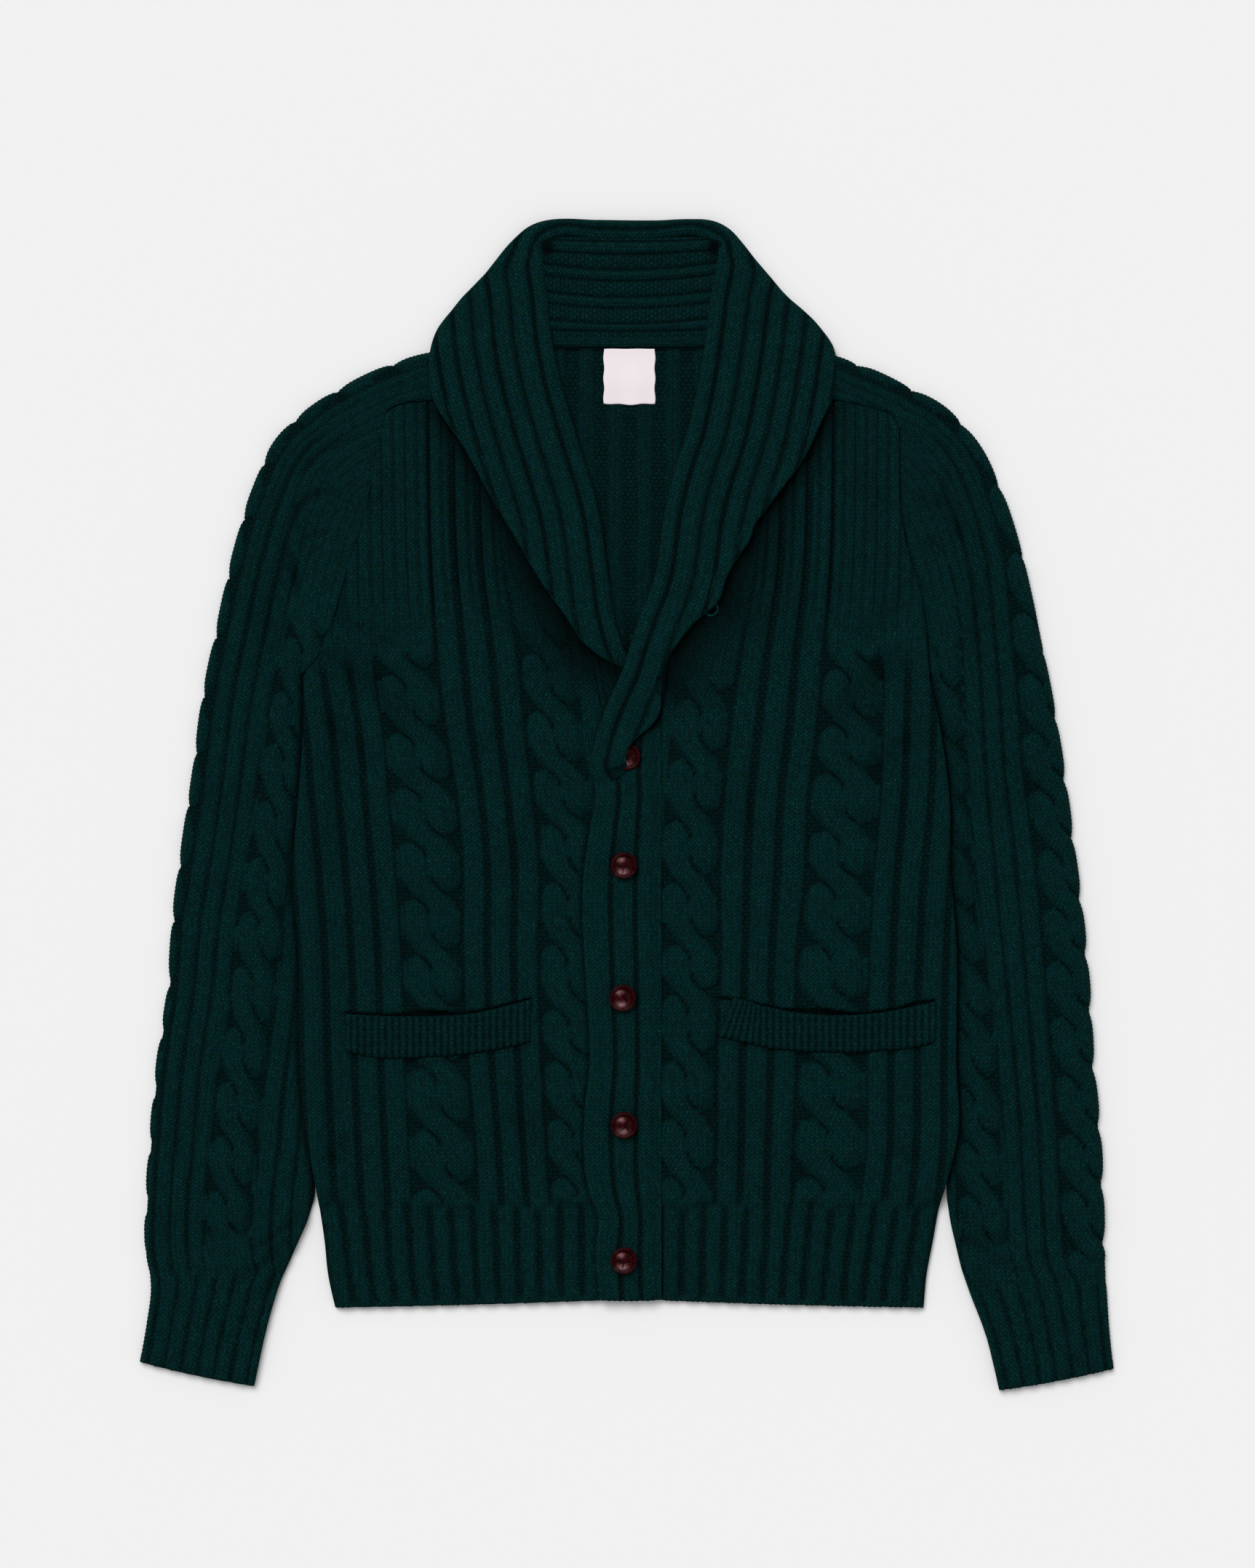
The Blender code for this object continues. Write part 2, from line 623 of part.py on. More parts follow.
def sleeve(side):
    sign = 1 if side == "left" else -1
    rows, line, _, lengths = fold_frame(side)
    total = lengths[-1]
    crease = list(CREASE[side])
    arm = offset(ARMHOLE[side], SEAM * sign)

    def edge_at(s):
        return point_at([(row[2],) for row in rows], lengths, s)[0]

    def inner_at(s):
        return point_at([(row[3],) for row in rows], lengths, s)[0]

    def bump(s):
        lobe = abs(math.sin(math.pi * (s - CUFF_START) / CABLE_PERIOD)) ** 0.6
        return (1.8 * lobe - 0.9) * smooth((s - CUFF_START) / 12) * (1 - smooth((s - total + 90) / 40))

    steps = [i * 13.8 for i in range(int(total / 13.8) + 1)] + [total]
    fold = [(*on_sleeve(side, s, -bump(s)), 0.0) for s in steps]
    inner_fold = [(*on_sleeve(side, s, WALL + 1.2), 0.0) for s in steps[::2] + [total]]

    def tucked(y):
        return TUCK * smooth((y + 279) / 22) * (1 - smooth((y - 70) / 24))
    hidden = [(read(SIDE, side, y) - sign * tucked(y) + sign * 0.4, y)
              for y in (80, 60, 20, -30, -80, -140, -200, -250, -270, -279)]
    inner = [(x + sign * 0.3, y) for x, y in SLEEVE_INNER[side]]
    cuff_in, cuff_out = inner[-1], line[0]
    cuff = []
    for i in range(1, 2 * CUFF_RIBS):
        t = i / (2 * CUFF_RIBS)
        y = lerp(cuff_in[1], cuff_out[1], t) - EDGE_BOW * math.sin(math.pi * t)
        cuff.append((lerp(cuff_in[0], cuff_out[0], t), y, RIB if i % 2 else 0.0))
    strap_in = on_sleeve(side, total, WALL + 1.2)
    open_edge = [(*inner_fold[-1][:2], 0.0)]
    open_edge += [(x, y, 0.0) for x, y in reversed(arm)]
    open_edge += [(x, y, 0.0) for x, y in hidden + inner]
    open_edge += cuff
    inner_fold[0] = (*open_edge[-1][:2], open_edge[-1][2])
    inner_fold[-1] = open_edge[0]
    open_edge[0] = (*strap_in, 0.0)
    outline = fold + open_edge

    def under_body(x, y):
        if y > 96 or y < -285:
            return False
        return abs(x) < abs(read(SIDE, side, y)) + 1.9

    def lift(x, y):
        if y < 94:
            return 0.0
        past = min(max(sign * (x_on(crease, y) - x) / CREASE_WIDTH, 0.0), 1.0)
        return BODY_LIFT * past * smooth((y - 94) / 10) * (1 - smooth((y - 98) / 100))

    def round_off(x, y):
        d = distance(x, y, fold)
        t = 1 - min(d / 7.0, 1.0)
        return 3.4 * (1 - math.sqrt(max(0.0, 1 - t * t)))

    def bottom(p):
        return lift(p[0], p[1])

    def floor(p):
        return lift(p[0], p[1]) + WALL

    def roof(p):
        return lift(p[0], p[1]) + UPPER

    def top(p):
        x, y = p[0], p[1]
        relief = 0.0 if under_body(x, y) else (p[2] if len(p) > 2 else 0.0)
        return lift(x, y) + TWO_LAYERS + relief - round_off(x, y)

    lines = [[(*on_sleeve(side, s, 3.2 - 0.5 * bump(s)), 0.4) for s in steps[1:-1]]]
    lines.append([(read(SIDE, side, y) + sign * 1.8, y, 0.0)
                  for y in [92] + [row[0] for row in reversed(SIDE[1]) if -282 < row[0] < 90]])
    shared = []
    for past in (0, CREASE_WIDTH):
        run = [(x_on(crease, y) - sign * past, y, 0.0) for y in (102, 116, 134, 154, 181)]
        shared += kept(run, outline, [], 0.8)
    blocks = lines + shared

    def add(depth_at, relief, low, high):
        path = [(*on_sleeve(side, s, depth_at(s)), relief)
                for s in (low + i * 16 for i in range(int((high - low) / 16) + 1))]
        lines.extend(clipped(path, outline, blocks, 2.2, RIB_STEP))
    for i in range(4):
        add(lambda s, t=i / 3: lerp(max(edge_at(s), 6), inner_at(s), t), 0.0, CUFF_START + 4, total - 6)
        if i < 3:
            add(lambda s, t=(i + 0.5) / 3: lerp(max(edge_at(s), 6), inner_at(s), t), RIB,
                CUFF_START + 4, total - 6)
    for k in (0.0, 0.5, 1.0, 1.5, 2.0, 2.5):
        add(lambda s, k=k: inner_at(s) + SLEEVE_CABLE + k * SLEEVE_PITCH, RIB if k % 1 else 0.0,
            CUFF_START + 4, SLEEVE_CABLE_START[side] - 20)
    lines.extend(sleeve_cable(side, inner_at, outline, blocks))
    if side == "left":
        lines.extend(edge_cable(edge_at, outline, blocks, total))
    for i in range(1, 2 * CUFF_RIBS):
        t = i / (2 * CUFF_RIBS)
        path = []
        for y_share in (0.06, 0.5, 0.97):
            y_out = lerp(cuff_out[1], cuff_out[1] + CUFF_START, y_share)
            y_in = lerp(cuff_in[1], cuff_in[1] + CUFF_START, y_share)
            x_out, x_in = x_on(line, y_out), x_on(inner, y_in)
            path.append((lerp(x_in, x_out, t), lerp(y_in, y_out, t), RIB if i % 2 else 0.0))
        lines.extend(kept(path, outline, blocks, 2.2))

    return folded("sleeve_" + side, fold, inner_fold, open_edge, open_edge,
                  (bottom, floor, roof, top), lines + shared, shared, False)


def sleeve_cable(side, inner_at, outline, blocks):
    found = []
    low, high = SLEEVE_CABLE_END[side], SLEEVE_CABLE_START[side]
    columns = CABLE_COLUMNS - 1
    for i in range(columns + 1):
        t = i / columns
        across = (2 * t - 1) * (1 if side == "right" else -1)
        column = []
        for j in range(int((high - low) / CABLE_STEP) + 1):
            s = high - j * CABLE_STEP
            depth = inner_at(s) + 1.5 + t * (SLEEVE_CABLE - 3)
            rise = cable_relief(across, (high - s) / CABLE_PERIOD)
            column.append((*on_sleeve(side, s, depth), CABLE * rise * smooth(j / 2)))
        found.extend(kept(column, outline, blocks, 2.2))
    return found


def edge_cable(edge_at, outline, blocks, total):
    """The half of the strap's own cable that shows beside the left sleeve's fold."""
    found = []
    for i in range(3):
        column = []
        for j in range(int((total - 200) / CABLE_STEP)):
            s = CUFF_START + 8 + j * CABLE_STEP
            depth = edge_at(s) - 2 - i * 9.0
            rise = cable_relief(-0.9 + 0.55 * i, -s / CABLE_PERIOD)
            if depth > 6:
                column.append((*on_sleeve("left", s, depth), 2.4 * rise))
        found.extend(kept(column, outline, blocks, 2.2))
    return found


# ---------------------------------------------------------------- collar
def stand_height(y):
    """Underside of the collar's stand at the back: down at its seam, up over the fall."""
    return UPPER * smooth((y - 339) / 14)


def fall_height(side, x, y):
    """Underside of the collar fall at the sides, over all that lies under it."""
    beyond = abs(x) - abs(x_on(STAND_SIDES[side], y))
    low = smooth((beyond - 1.5) / 11) * smooth((y - 338) / 14)
    height = lerp(FALL, UPPER, low)
    if side == "left":
        over_band = 1 - smooth((y - 118) / 16)
        height = lerp(height, TWO_LAYERS + GAP + WALL + GAP, over_band)
        bx, by = BUTTONS_XY[0]
        near = math.hypot(x - bx, y - by) - BUTTON_RADIUS
        height += (BUTTON_HEIGHT + 0.3) * (1 - smooth(near / 12))
    return height


def fall_folds(side, outline):
    """Lines between which the underside of the fall is straight."""
    sign = 1 if side == "left" else -1
    stand_edge = list(STAND_SIDES[side])
    heights = (412, 396, 380, 366, 353)
    near = [(x_on(stand_edge, y) + sign * 1.5, y) for y in heights + (340,)]
    far = [(x_on(stand_edge, y) + sign * 12.5, y) for y in heights]
    lines = [near + [(sign * 140, 339.5)], far + [(sign * 130, 352.5)]]
    if side == "left":
        lines += [[(x_on(ROLL[side], y) + 7, y), (x_on(ROLL[side], y) + 22, y)] for y in (118, 134)]
    return [run for line in lines for run in kept(line, outline, [], 1.5)]


def button_rings(outline):
    """Rings round the button under the lapel, where the lapel bulges over it."""
    x, y = BUTTONS_XY[0]
    rings = []
    for radius in (BUTTON_RADIUS + 0.5, BUTTON_RADIUS + 11):
        turns = [math.radians(a) for a in range(40, 321, 20)]
        ring = [(x + radius * math.cos(a), y + radius * math.sin(a), 0.0) for a in turns]
        rings += kept(ring, outline, [], 1.5)
    return rings + [[(x - 4, y, 0.0)]]


def collar_side(side):
    sign = 1 if side == "left" else -1
    roll = list(ROLL[side])
    low, high = STAND_BOTTOM[side], STAND_TOP
    fold = [p for p in roll if low <= p[1] <= high]
    inner_fold = [(x + sign * (WALL + 0.6), y) for x, y in fold]
    above = [p for p in roll if p[1] > high]
    below = [p for p in roll if p[1] < low]
    upper = above + list(FALL_EDGE[side]) + below
    lower = [inner_fold[-1]] + list(STAND_SEAM[side]) + [inner_fold[0]]
    outline = fold + upper
    rings = button_rings(outline) if side == "left" else []

    def bottom(p):
        return UPPER

    def floor(p):
        return TWO_LAYERS

    def roof(p):
        return fall_height(side, p[0], p[1])

    def top(p):
        x, y = p[0], p[1]
        relief = (p[2] if len(p) > 2 else 0.0) * smooth((y - LAPEL_PLAIN) / 30)
        t = 1 - min(distance(x, y, roll) / 6.0, 1.0)
        drop = 1.9 * (1 - math.sqrt(max(0.0, 1 - t * t)))
        return roof(p) + WALL + relief - drop

    lines = [[(x, y, 0.5) for x, y in run]
             for run in clipped(offset(roll, sign * 3.0), outline, rings, 2.0, 26)]
    blocks = lines + rings
    for k in range(COLLAR_RIBS * 2):
        depth = COLLAR_FIRST + k * COLLAR_PITCH / 2
        relief = RIB if k % 2 else 0.0
        path = [(*p, relief) for p in offset(extended(roll, sign), sign * depth)]
        lines += clipped(path, outline, blocks, 2.0, COLLAR_STEP)
    return folded("collar_" + side, fold, inner_fold, upper, lower,
                  (bottom, floor, roof, top), lines + rings, fall_folds(side, outline) + rings, True)


def extended(roll, sign):
    """The roll line, run on past its upper end so that the ribs reach the fold."""
    tip = roll[-2]
    return resample(roll[:-1] + [(tip[0] + sign * 0.5, tip[1] + 30)], 18)


def collar_back():
    fold = list(BACK_ROLL)
    inner_fold = [(x, y - BACK_ROLL_DEPTH) for x, y in fold]
    right, left = STAND_SIDES["right"], STAND_SIDES["left"]
    upper = [inner_fold[-1]] + list(reversed(left)) + [(0, 338.0)]
    upper += list(reversed(right)) + [inner_fold[0]]
    lower = [inner_fold[-1]] + list(reversed(BACK_FALL_EDGE)) + [inner_fold[0]]

    def bottom(p):
        return 0.0

    def floor(p):
        return WALL

    def roof(p):
        return stand_height(p[1])

    def top(p):
        t = 1 - min(distance(p[0], p[1], fold) / 6.0, 1.0)
        drop = 1.6 * (1 - math.sqrt(max(0.0, 1 - t * t)))
        return roof(p) + WALL + (p[2] if len(p) > 2 else 0.0) - drop

    lines = [[(x, y - 3.0, 0.4) for x, y in fold[1:-1]]]
    edges = sorted(BACK_RIB_LINES, reverse=True)
    for low, high in zip(edges[1:], edges):
        for y, relief in ((high, 0.0), (lerp(high, low, 0.25), RIB), (lerp(high, low, 0.75), RIB)):
            sag = [(x, y - 2.0 * (1 - (x / 70) ** 2), relief) for x in (-58, -29, 0, 29, 58)]
            lines.append(sag)
    ramp = [[(x, 352.5, 0.0) for x in (-88, -40, 0, 40, 88)]]
    return folded("collar_back", fold, inner_fold, upper, lower,
                  (bottom, floor, roof, top), lines + ramp, ramp, False)


# ---------------------------------------------------------------- bands and trims
def band_over():
    rows = BAND_EDGE[1]
    edge = [(x, y) for y, x in rows]
    seam = [(BAND_SEAM - SEAM, -368.2), (BAND_SEAM - SEAM, 62), (29.5, 100), (30.4, 110)]
    outline = [(lerp(edge[0][0], seam[0][0], i / 6), -367.8 - 0.6 * math.sin(math.pi * i / 6),
                RIB if i % 2 else 0.0) for i in range(6)]
    outline += seam + edge[::-1][:-1]

    def bottom(p):
        beyond = smooth((p[0] - 16.5) / (BAND_SEAM - 17.5)) * (1 - smooth((p[1] - 70) / 20))
        return lerp(TWO_LAYERS + GAP, UPPER, beyond)

    def top(p):
        relief = p[2] if len(p) > 2 else 0.0
        covered = smooth((p[1] - 2) / 7)
        round_in = 1.2 * (1 - min(distance(p[0], p[1], edge) / 3.0, 1.0))
        return bottom(p) + WALL + relief * (1 - covered) - round_in * (1 - covered)
    lines = []
    heights = [-362 + i * 46.5 for i in range(9)] + [22]
    shares = ((0.08, 0.4), (0.18, RIB), (0.33, 0.0), (0.42, RIB), (0.58, RIB), (0.67, 0.0), (0.82, RIB))
    for t, relief in shares:
        lines.append([(lerp(read(BAND_EDGE, "x", y), BAND_SEAM, t), y, relief) for y in heights])
    lines.append([(17.2, y, 0.0) for y in (40, 60)])
    ramp = [[(x, y) for y in (-320, -220, -120, -20, 60)] for x in (16.5, 21.0)]
    return panel("band_over", outline, lines, ramp, bottom, top)


def band_under():
    left, right, low, high = UNDER_SEAM + SEAM, 14.0, -366.5, 92.0
    outline = [(left, low), (right, low), (right, 60), (6, 84), (-8, high), (-20.6, 90), (left, 62)]

    def bottom(p):
        return UPPER

    def top(p):
        return TWO_LAYERS
    return panel("band_under", outline, [], [], bottom, top)


def welt(side):
    rows = WELTS[side]
    ribs = WELT_RIBS * 2
    lower = [(low, x) for x, low, _ in rows]
    upper = [(high, x) for x, _, high in rows]
    marks = []
    for i in range(ribs + 1):
        x = lerp(rows[0][0], rows[-1][0], i / ribs)
        bow = math.sin(math.pi * i / ribs)
        relief = WELT_RIB if i % 2 else 0.0
        marks.append((x, x_on(lower, x) - 0.8 * bow, x_on(upper, x) + 0.5 * bow, relief))
    outline = [(x, low, relief) for x, low, _, relief in marks]
    outline += [(x, high, relief) for x, _, high, relief in reversed(marks)]
    lines = [[(x, low + 5, relief), (x, high - 5, relief)] for x, low, high, relief in marks[1:-1]]

    def bottom(p):
        return TWO_LAYERS + GAP + welt_lift(p)

    def top(p):
        return bottom(p) + WALL + (p[2] if len(p) > 2 else 0.0)
    return panel("welt_" + side, outline, lines, [line[:1] for line in lines[::2]], bottom, top)


def welt_lift(p):
    """The body's lift under a welt, kept above the front's own facets."""
    lift = body_lift(p[0], p[1])
    return lift + 0.8 * smooth(lift)


def button(index, place):
    """A domed leather button, turned about its upright axis."""
    name = "button_%d" % index
    x, y = place
    covered = index == 1
    base = TWO_LAYERS + GAP + WALL + 0.3 + (0.0 if covered else RIB)
    profile = ((0.62, 0.0), (0.97, 0.22), (1.0, 0.40), (0.86, 0.72), (0.52, 0.94))
    sides = 14
    points = [(0, 0, 0.0)]
    for radius, height in profile:
        for i in range(sides):
            turn = 2 * math.pi * i / sides
            points.append((radius * math.cos(turn), radius * math.sin(turn), height))
    points.append((0, 0, 1.0))
    faces = [(0, 1 + (i + 1) % sides, 1 + i) for i in range(sides)]
    for ring in range(len(profile) - 1):
        for i in range(sides):
            a, b = 1 + ring * sides + i, 1 + ring * sides + (i + 1) % sides
            faces.append((a, b, b + sides, a + sides))
    last = 1 + (len(profile) - 1) * sides
    faces += [(last + i, last + (i + 1) % sides, len(points) - 1) for i in range(sides)]
    tall = BUTTON_HEIGHT - (1.0 if covered else 0.0)
    places = [(a * BUTTON_RADIUS * MM, b * BUTTON_RADIUS * MM, c * tall * MM) for a, b, c in points]
    mesh = bpy.data.meshes.new(name)
    mesh.from_pydata(places, [], faces)
    mesh.materials.append(material(name, LEATHER, 0.35))
    mesh.shade_smooth()
    thing = bpy.data.objects.new(name, mesh)
    thing.location = (x * MM, y * MM, base * MM)
    bpy.context.scene.collection.objects.link(thing)
    return thing


def neck_tape():
    def bottom(p):
        return stand_height(p[1]) + WALL + 0.3

    def top(p):
        return bottom(p) + 1.1 - 0.5 * smooth((abs(p[0]) - 44) / 8)
    return panel("neck_tape", list(TAPE), [[(-40, 342.5), (40, 342.5)]], [], bottom, top)


def neck_label():
    left, right, low, high = LABEL
    outline = [(left, low), (lerp(left, right, 0.5), low - 1), (right, low), (right, high), (left, high)]

    def bottom(p):
        return WALL + 0.3

    def top(p):
        return WALL + 1.1
    return panel("neck_label", outline, [], [], bottom, top, colour=SATIN, roughness=0.4)


def yarn_loop():
    """A short loop of yarn standing out of the left edge of the collar fall."""
    (x, y), radius, thick = LOOP_CENTRE, 5.0, 0.8
    curve = bpy.data.curves.new("yarn_loop", "CURVE")
    curve.dimensions = "3D"
    curve.bevel_depth = thick * MM
    curve.bevel_resolution = 1
    curve.use_fill_caps = True
    spline = curve.splines.new("POLY")
    count = 11
    spline.points.add(count - 1)
    for i in range(count):
        turn = math.radians(lerp(-138, 42, i / (count - 1)))
        place = Vector((x + radius * math.cos(turn), y + radius * math.sin(turn), FALL + 1.4))
        spline.points[i].co = (*(place * MM), 1)
    curve.materials.append(material("yarn_loop", KNIT, 0.9))
    thing = bpy.data.objects.new("yarn_loop", curve)
    bpy.context.scene.collection.objects.link(thing)
    return thing


def main():
    for thing in list(bpy.data.objects):
        bpy.data.objects.remove(thing)
    back()
    for side in ("right", "left"):
        front(side)
        sleeve(side)
        collar_side(side)
        welt(side)
    collar_back()
    band_under()
    band_over()
    neck_tape()
    neck_label()
    for index, place in enumerate(BUTTONS_XY, start=1):
        button(index, place)
    yarn_loop()


main()
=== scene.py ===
import math

import bmesh
import bpy
import numpy as np
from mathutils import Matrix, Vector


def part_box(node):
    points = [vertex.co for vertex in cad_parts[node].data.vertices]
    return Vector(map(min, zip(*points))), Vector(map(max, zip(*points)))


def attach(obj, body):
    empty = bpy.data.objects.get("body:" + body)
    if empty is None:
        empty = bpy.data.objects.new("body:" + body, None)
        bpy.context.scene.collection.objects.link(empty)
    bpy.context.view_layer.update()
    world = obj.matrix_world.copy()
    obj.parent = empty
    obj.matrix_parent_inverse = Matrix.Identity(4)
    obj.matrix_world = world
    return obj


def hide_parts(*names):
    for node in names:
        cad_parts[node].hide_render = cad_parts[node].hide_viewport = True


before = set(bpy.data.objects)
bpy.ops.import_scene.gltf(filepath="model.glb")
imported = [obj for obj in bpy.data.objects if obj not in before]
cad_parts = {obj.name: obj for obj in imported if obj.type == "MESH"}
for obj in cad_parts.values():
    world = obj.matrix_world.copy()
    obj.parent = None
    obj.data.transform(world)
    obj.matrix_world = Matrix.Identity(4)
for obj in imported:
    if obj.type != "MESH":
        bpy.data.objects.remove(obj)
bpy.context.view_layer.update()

# A cable-knit shawl collar cardigan laid flat. Sizes are in millimetres until a mesh is made.
mm = 0.001
sides = {"right": -1, "left": 1}     # the wearer's sides, and which way x goes there

knit = {
    "wale": 3.9,            # across one stitch
    "course": 3.0,          # up one stitch
    "column": 1.95,         # between the columns of a piece's grid
    "wall": 2.7,
    "gap": 0.35,
    "rib": 2.5,             # how far ribs and cables stand out
    "cable": 4.8,
    "troughFloor": 1.25,    # half the flat of a purl trough, and the slope beside it
    "troughSlope": 2.5,
    "hemFloor": 1.2,
    "hemSlope": 2.4,
    "narrowFloor": 0.5,     # the same on the collar and the band over
    "narrowSlope": 2.2,
    "fineFloor": 0.3,       # and on the sleeves, cuffs, welts and the band under
    "fineSlope": 1.9,
    "weltPitch": 5.2,
}
upper = knit["wall"] + knit["gap"]
twoLayers = upper + knit["wall"]


def toLinear(hexColour):
    parts = [int(hexColour[i:i + 2], 16) / 255 for i in (1, 3, 5)]
    return [c / 12.92 if c <= 0.04045 else ((c + 0.055) / 1.055) ** 2.4 for c in parts]


def smooth(t):
    t = np.clip(t, 0, 1)
    return t * t * (3 - 2 * t)


def lerp(a, b, t):
    return a + (b - a) * t


def bell(away, width, power=2):
    # 1 at no distance, falling off over a width
    return np.exp(-(away / width) ** power)


def roundOff(t):
    # how far a rounded edge has dropped, t being the share of the way in from it
    return 1 - np.sqrt(np.clip(1 - (1 - np.clip(t, 0, 1)) ** 2, 0, 1))


def toNearest(place, pitch, start=0.0):
    # how far it is to the nearest of the lines that stand a pitch apart
    return np.abs((place - start + pitch / 2) % pitch - pitch / 2)


def nearest(place, lines):
    return np.abs(place[..., None] - np.array(lines)).min(-1)


def isBetween(value, low, high):
    return (value >= low) & (value <= high)


def curveThrough(knots, values, at):
    knots, values = np.asarray(knots, float), np.asarray(values, float)
    slopes = np.gradient(values, knots)
    i = np.clip(np.searchsorted(knots, at, side="right") - 1, 0, len(knots) - 2)
    step = knots[i + 1] - knots[i]
    t = np.clip((at - knots[i]) / step, 0, 1)
    start = (2 * t ** 3 - 3 * t ** 2 + 1) * values[i] + (t ** 3 - 2 * t ** 2 + t) * step * slopes[i]
    end = (3 * t ** 2 - 2 * t ** 3) * values[i + 1] + (t ** 3 - t ** 2) * step * slopes[i + 1]
    return start + end


def column(table, name, at):
    # a named column of a table, read by its first column
    rows = np.array(sorted(table["rows"]), float)
    return curveThrough(rows[:, 0], rows[:, table["columns"].index(name)], at)


def smoothLine(points, step):
    # a smooth run through points, in even steps: x, y and the length so far
    p = np.array(points, float)
    chord = np.concatenate([[0], np.cumsum(np.hypot(*np.diff(p, axis=0).T))])
    fine = np.linspace(0, chord[-1], 3000)
    x, y = curveThrough(chord, p[:, 0], fine), curveThrough(chord, p[:, 1], fine)
    length = np.concatenate([[0], np.cumsum(np.hypot(np.diff(x), np.diff(y)))])
    at = np.linspace(0, length[-1], max(2, round(length[-1] / step)) + 1)
    return np.interp(at, length, x), np.interp(at, length, y), at


def rightOf(x, y, window):
    # unit normals to the right of a run, evened out over a window of points
    dx, dy = np.gradient(x), np.gradient(y)
    weights = np.ones(window) / window
    pad = window // 2
    dx = np.convolve(np.pad(dx, pad, mode="edge"), weights, mode="valid")
    dy = np.convolve(np.pad(dy, pad, mode="edge"), weights, mode="valid")
    size = np.hypot(dx, dy)
    return dy / size, -dx / size


def reach(x, y, nx, ny, boundary, most):
    # how far each point's normal runs before it meets a boundary
    depth = np.full(len(x), float(most))
    for (ax, ay), (bx, by) in zip(boundary, boundary[1:]):
        ux, uy = bx - ax, by - ay
        cross = nx * uy - ny * ux
        cross = np.where(np.abs(cross) < 1e-6, 1e-6, cross)
        t = ((ax - x) * uy - (ay - y) * ux) / cross
        w = ((ax - x) * ny - (ay - y) * nx) / cross
        hit = (w >= -0.02) & (w <= 1.02) & (t > 3) & (t < depth)
        depth = np.where(hit, t, depth)
    return depth


def evened(values, window):
    pad = window // 2
    return np.convolve(np.pad(values, pad, mode="edge"), np.ones(window) / window, mode="valid")


def inside(x, y, outline):
    odd = np.zeros(np.shape(x), bool)
    for (ax, ay), (bx, by) in zip(outline, outline[1:] + outline[:1]):
        if ay != by:
            odd ^= ((ay > y) != (by > y)) & (x < ax + (y - ay) / (by - ay) * (bx - ax))
    return odd


def distanceTo(x, y, line):
    best = np.full(np.shape(x), 1e9)
    for (ax, ay), (bx, by) in zip(line, line[1:]):
        ux, uy = bx - ax, by - ay
        t = np.clip(((x - ax) * ux + (y - ay) * uy) / max(ux * ux + uy * uy, 1e-9), 0, 1)
        best = np.minimum(best, np.hypot(x - ax - ux * t, y - ay - uy * t))
    return best


def ribRelief(toTrough, pitch, kind="trough"):
    # toTrough is the distance to the nearest purl trough; gives the relief and how far it is purl
    ground, slope = knit[kind + "Floor"], knit[kind + "Slope"]
    rise = smooth((toTrough - ground) / slope)
    crown = 0.2 * np.sin(np.pi * np.clip((toTrough - ground) / (pitch / 2 - ground), 0, 1) / 2)
    purl = 1 - smooth((toTrough - ground - 0.35 * slope) / (0.55 * slope))
    return rise * (0.84 + crown), purl


# A cable's two strands, in shares of one twist along it and of half its width across it.
strands = {
    "overSwing": 0.46,
    "underSwing": 0.48,
    "overHalf": 0.61,       # half as wide as each strand
    "underHalf": 0.55,
    "sunk": 0.8,            # how far the under strand goes down at the crossing
    "comesOut": 0.59,       # how far into a twist the under strand shows again
}
offRope = 9.0               # stands for an across that is outside every rope


def overStrand(phase, drawn=0.0):
    # drawn is how far the crossing is drawn out along the rope
    crossed = lerp(smooth((phase - 0.1) / 0.8), np.clip(phase, 0, 1), drawn)
    return -strands["overSwing"] + 2 * strands["overSwing"] * crossed


def underStrand(phase):
    # it slips across quickly, out of sight
    return strands["underSwing"] - 2 * strands["underSwing"] * smooth((phase - 0.34) / 0.32)


def strandHump(away, half):
    return np.clip(1 - np.abs(away / half) ** 2.6, 0, 1) ** 0.55


def ropeStrands(across, along, drawn=0.0):
    # the over strand runs down to the right; across is -1 to 1
    phase = along - np.floor(along)
    high = strandHump(across - overStrand(phase, drawn), strands["overHalf"])
    low = strandHump(across - underStrand(phase), strands["underHalf"])
    return high, (1 - strands["sunk"] * bell(phase - 0.5, 0.2)) * low


def twists(at, arcs):
    # how many twists down its rope each place is; arcs is where a strand comes out from under the other
    arcs = np.array(arcs, float)
    step = (arcs[0] - arcs[-1]) / (len(arcs) - 1)
    more = step * np.arange(1, 9)
    marks = np.concatenate([arcs[0] + more[::-1], arcs, arcs[-1] - more])
    return np.interp(-np.asarray(at, float), -marks, np.arange(len(marks)) + strands["comesOut"])


def ropeRelief(across, along, drawn=0.0):
    # the rope's height, and the sunken line between its strands where they cross
    high, low = ropeStrands(across, along, drawn)
    top = np.maximum(high, low)
    crossing = bell(along - np.floor(along) - 0.5, 0.3, 4)
    edge = bell(high - low, 0.2) * smooth(top / 0.3) * smooth(crossing / 0.25)
    return np.clip(top - 0.45 * edge, 0, 1), edge


def ropeUvs(across, along, wales):
    # across and along hold a row of four corners for each face; stitches follow their strand
    middle = along.mean(1)
    period = np.floor(middle)[:, None]
    high, low = ropeStrands(across.mean(1), middle)
    over, under = overStrand(along - period), underStrand(along - period)
    centre = np.where((high >= low)[:, None], over, under)
    return (across - centre) * wales / 2


def creases(x, y, rows):
    # soft troughs along bowed lines; a negative depth is a ridge
    total = np.zeros(np.shape(x))
    for x0, y0, x1, y1, bow, width, depth in rows:
        dx, dy = x1 - x0, y1 - y0
        size = math.hypot(dx, dy)
        t = ((x - x0) * dx + (y - y0) * dy) / size ** 2
        off = ((y - y0) * dx - (x - x0) * dy) / size - bow * 4 * t * (1 - t)
        total -= depth * smooth(t / 0.3) * smooth((1 - t) / 0.3) * bell(off, width)
    return total


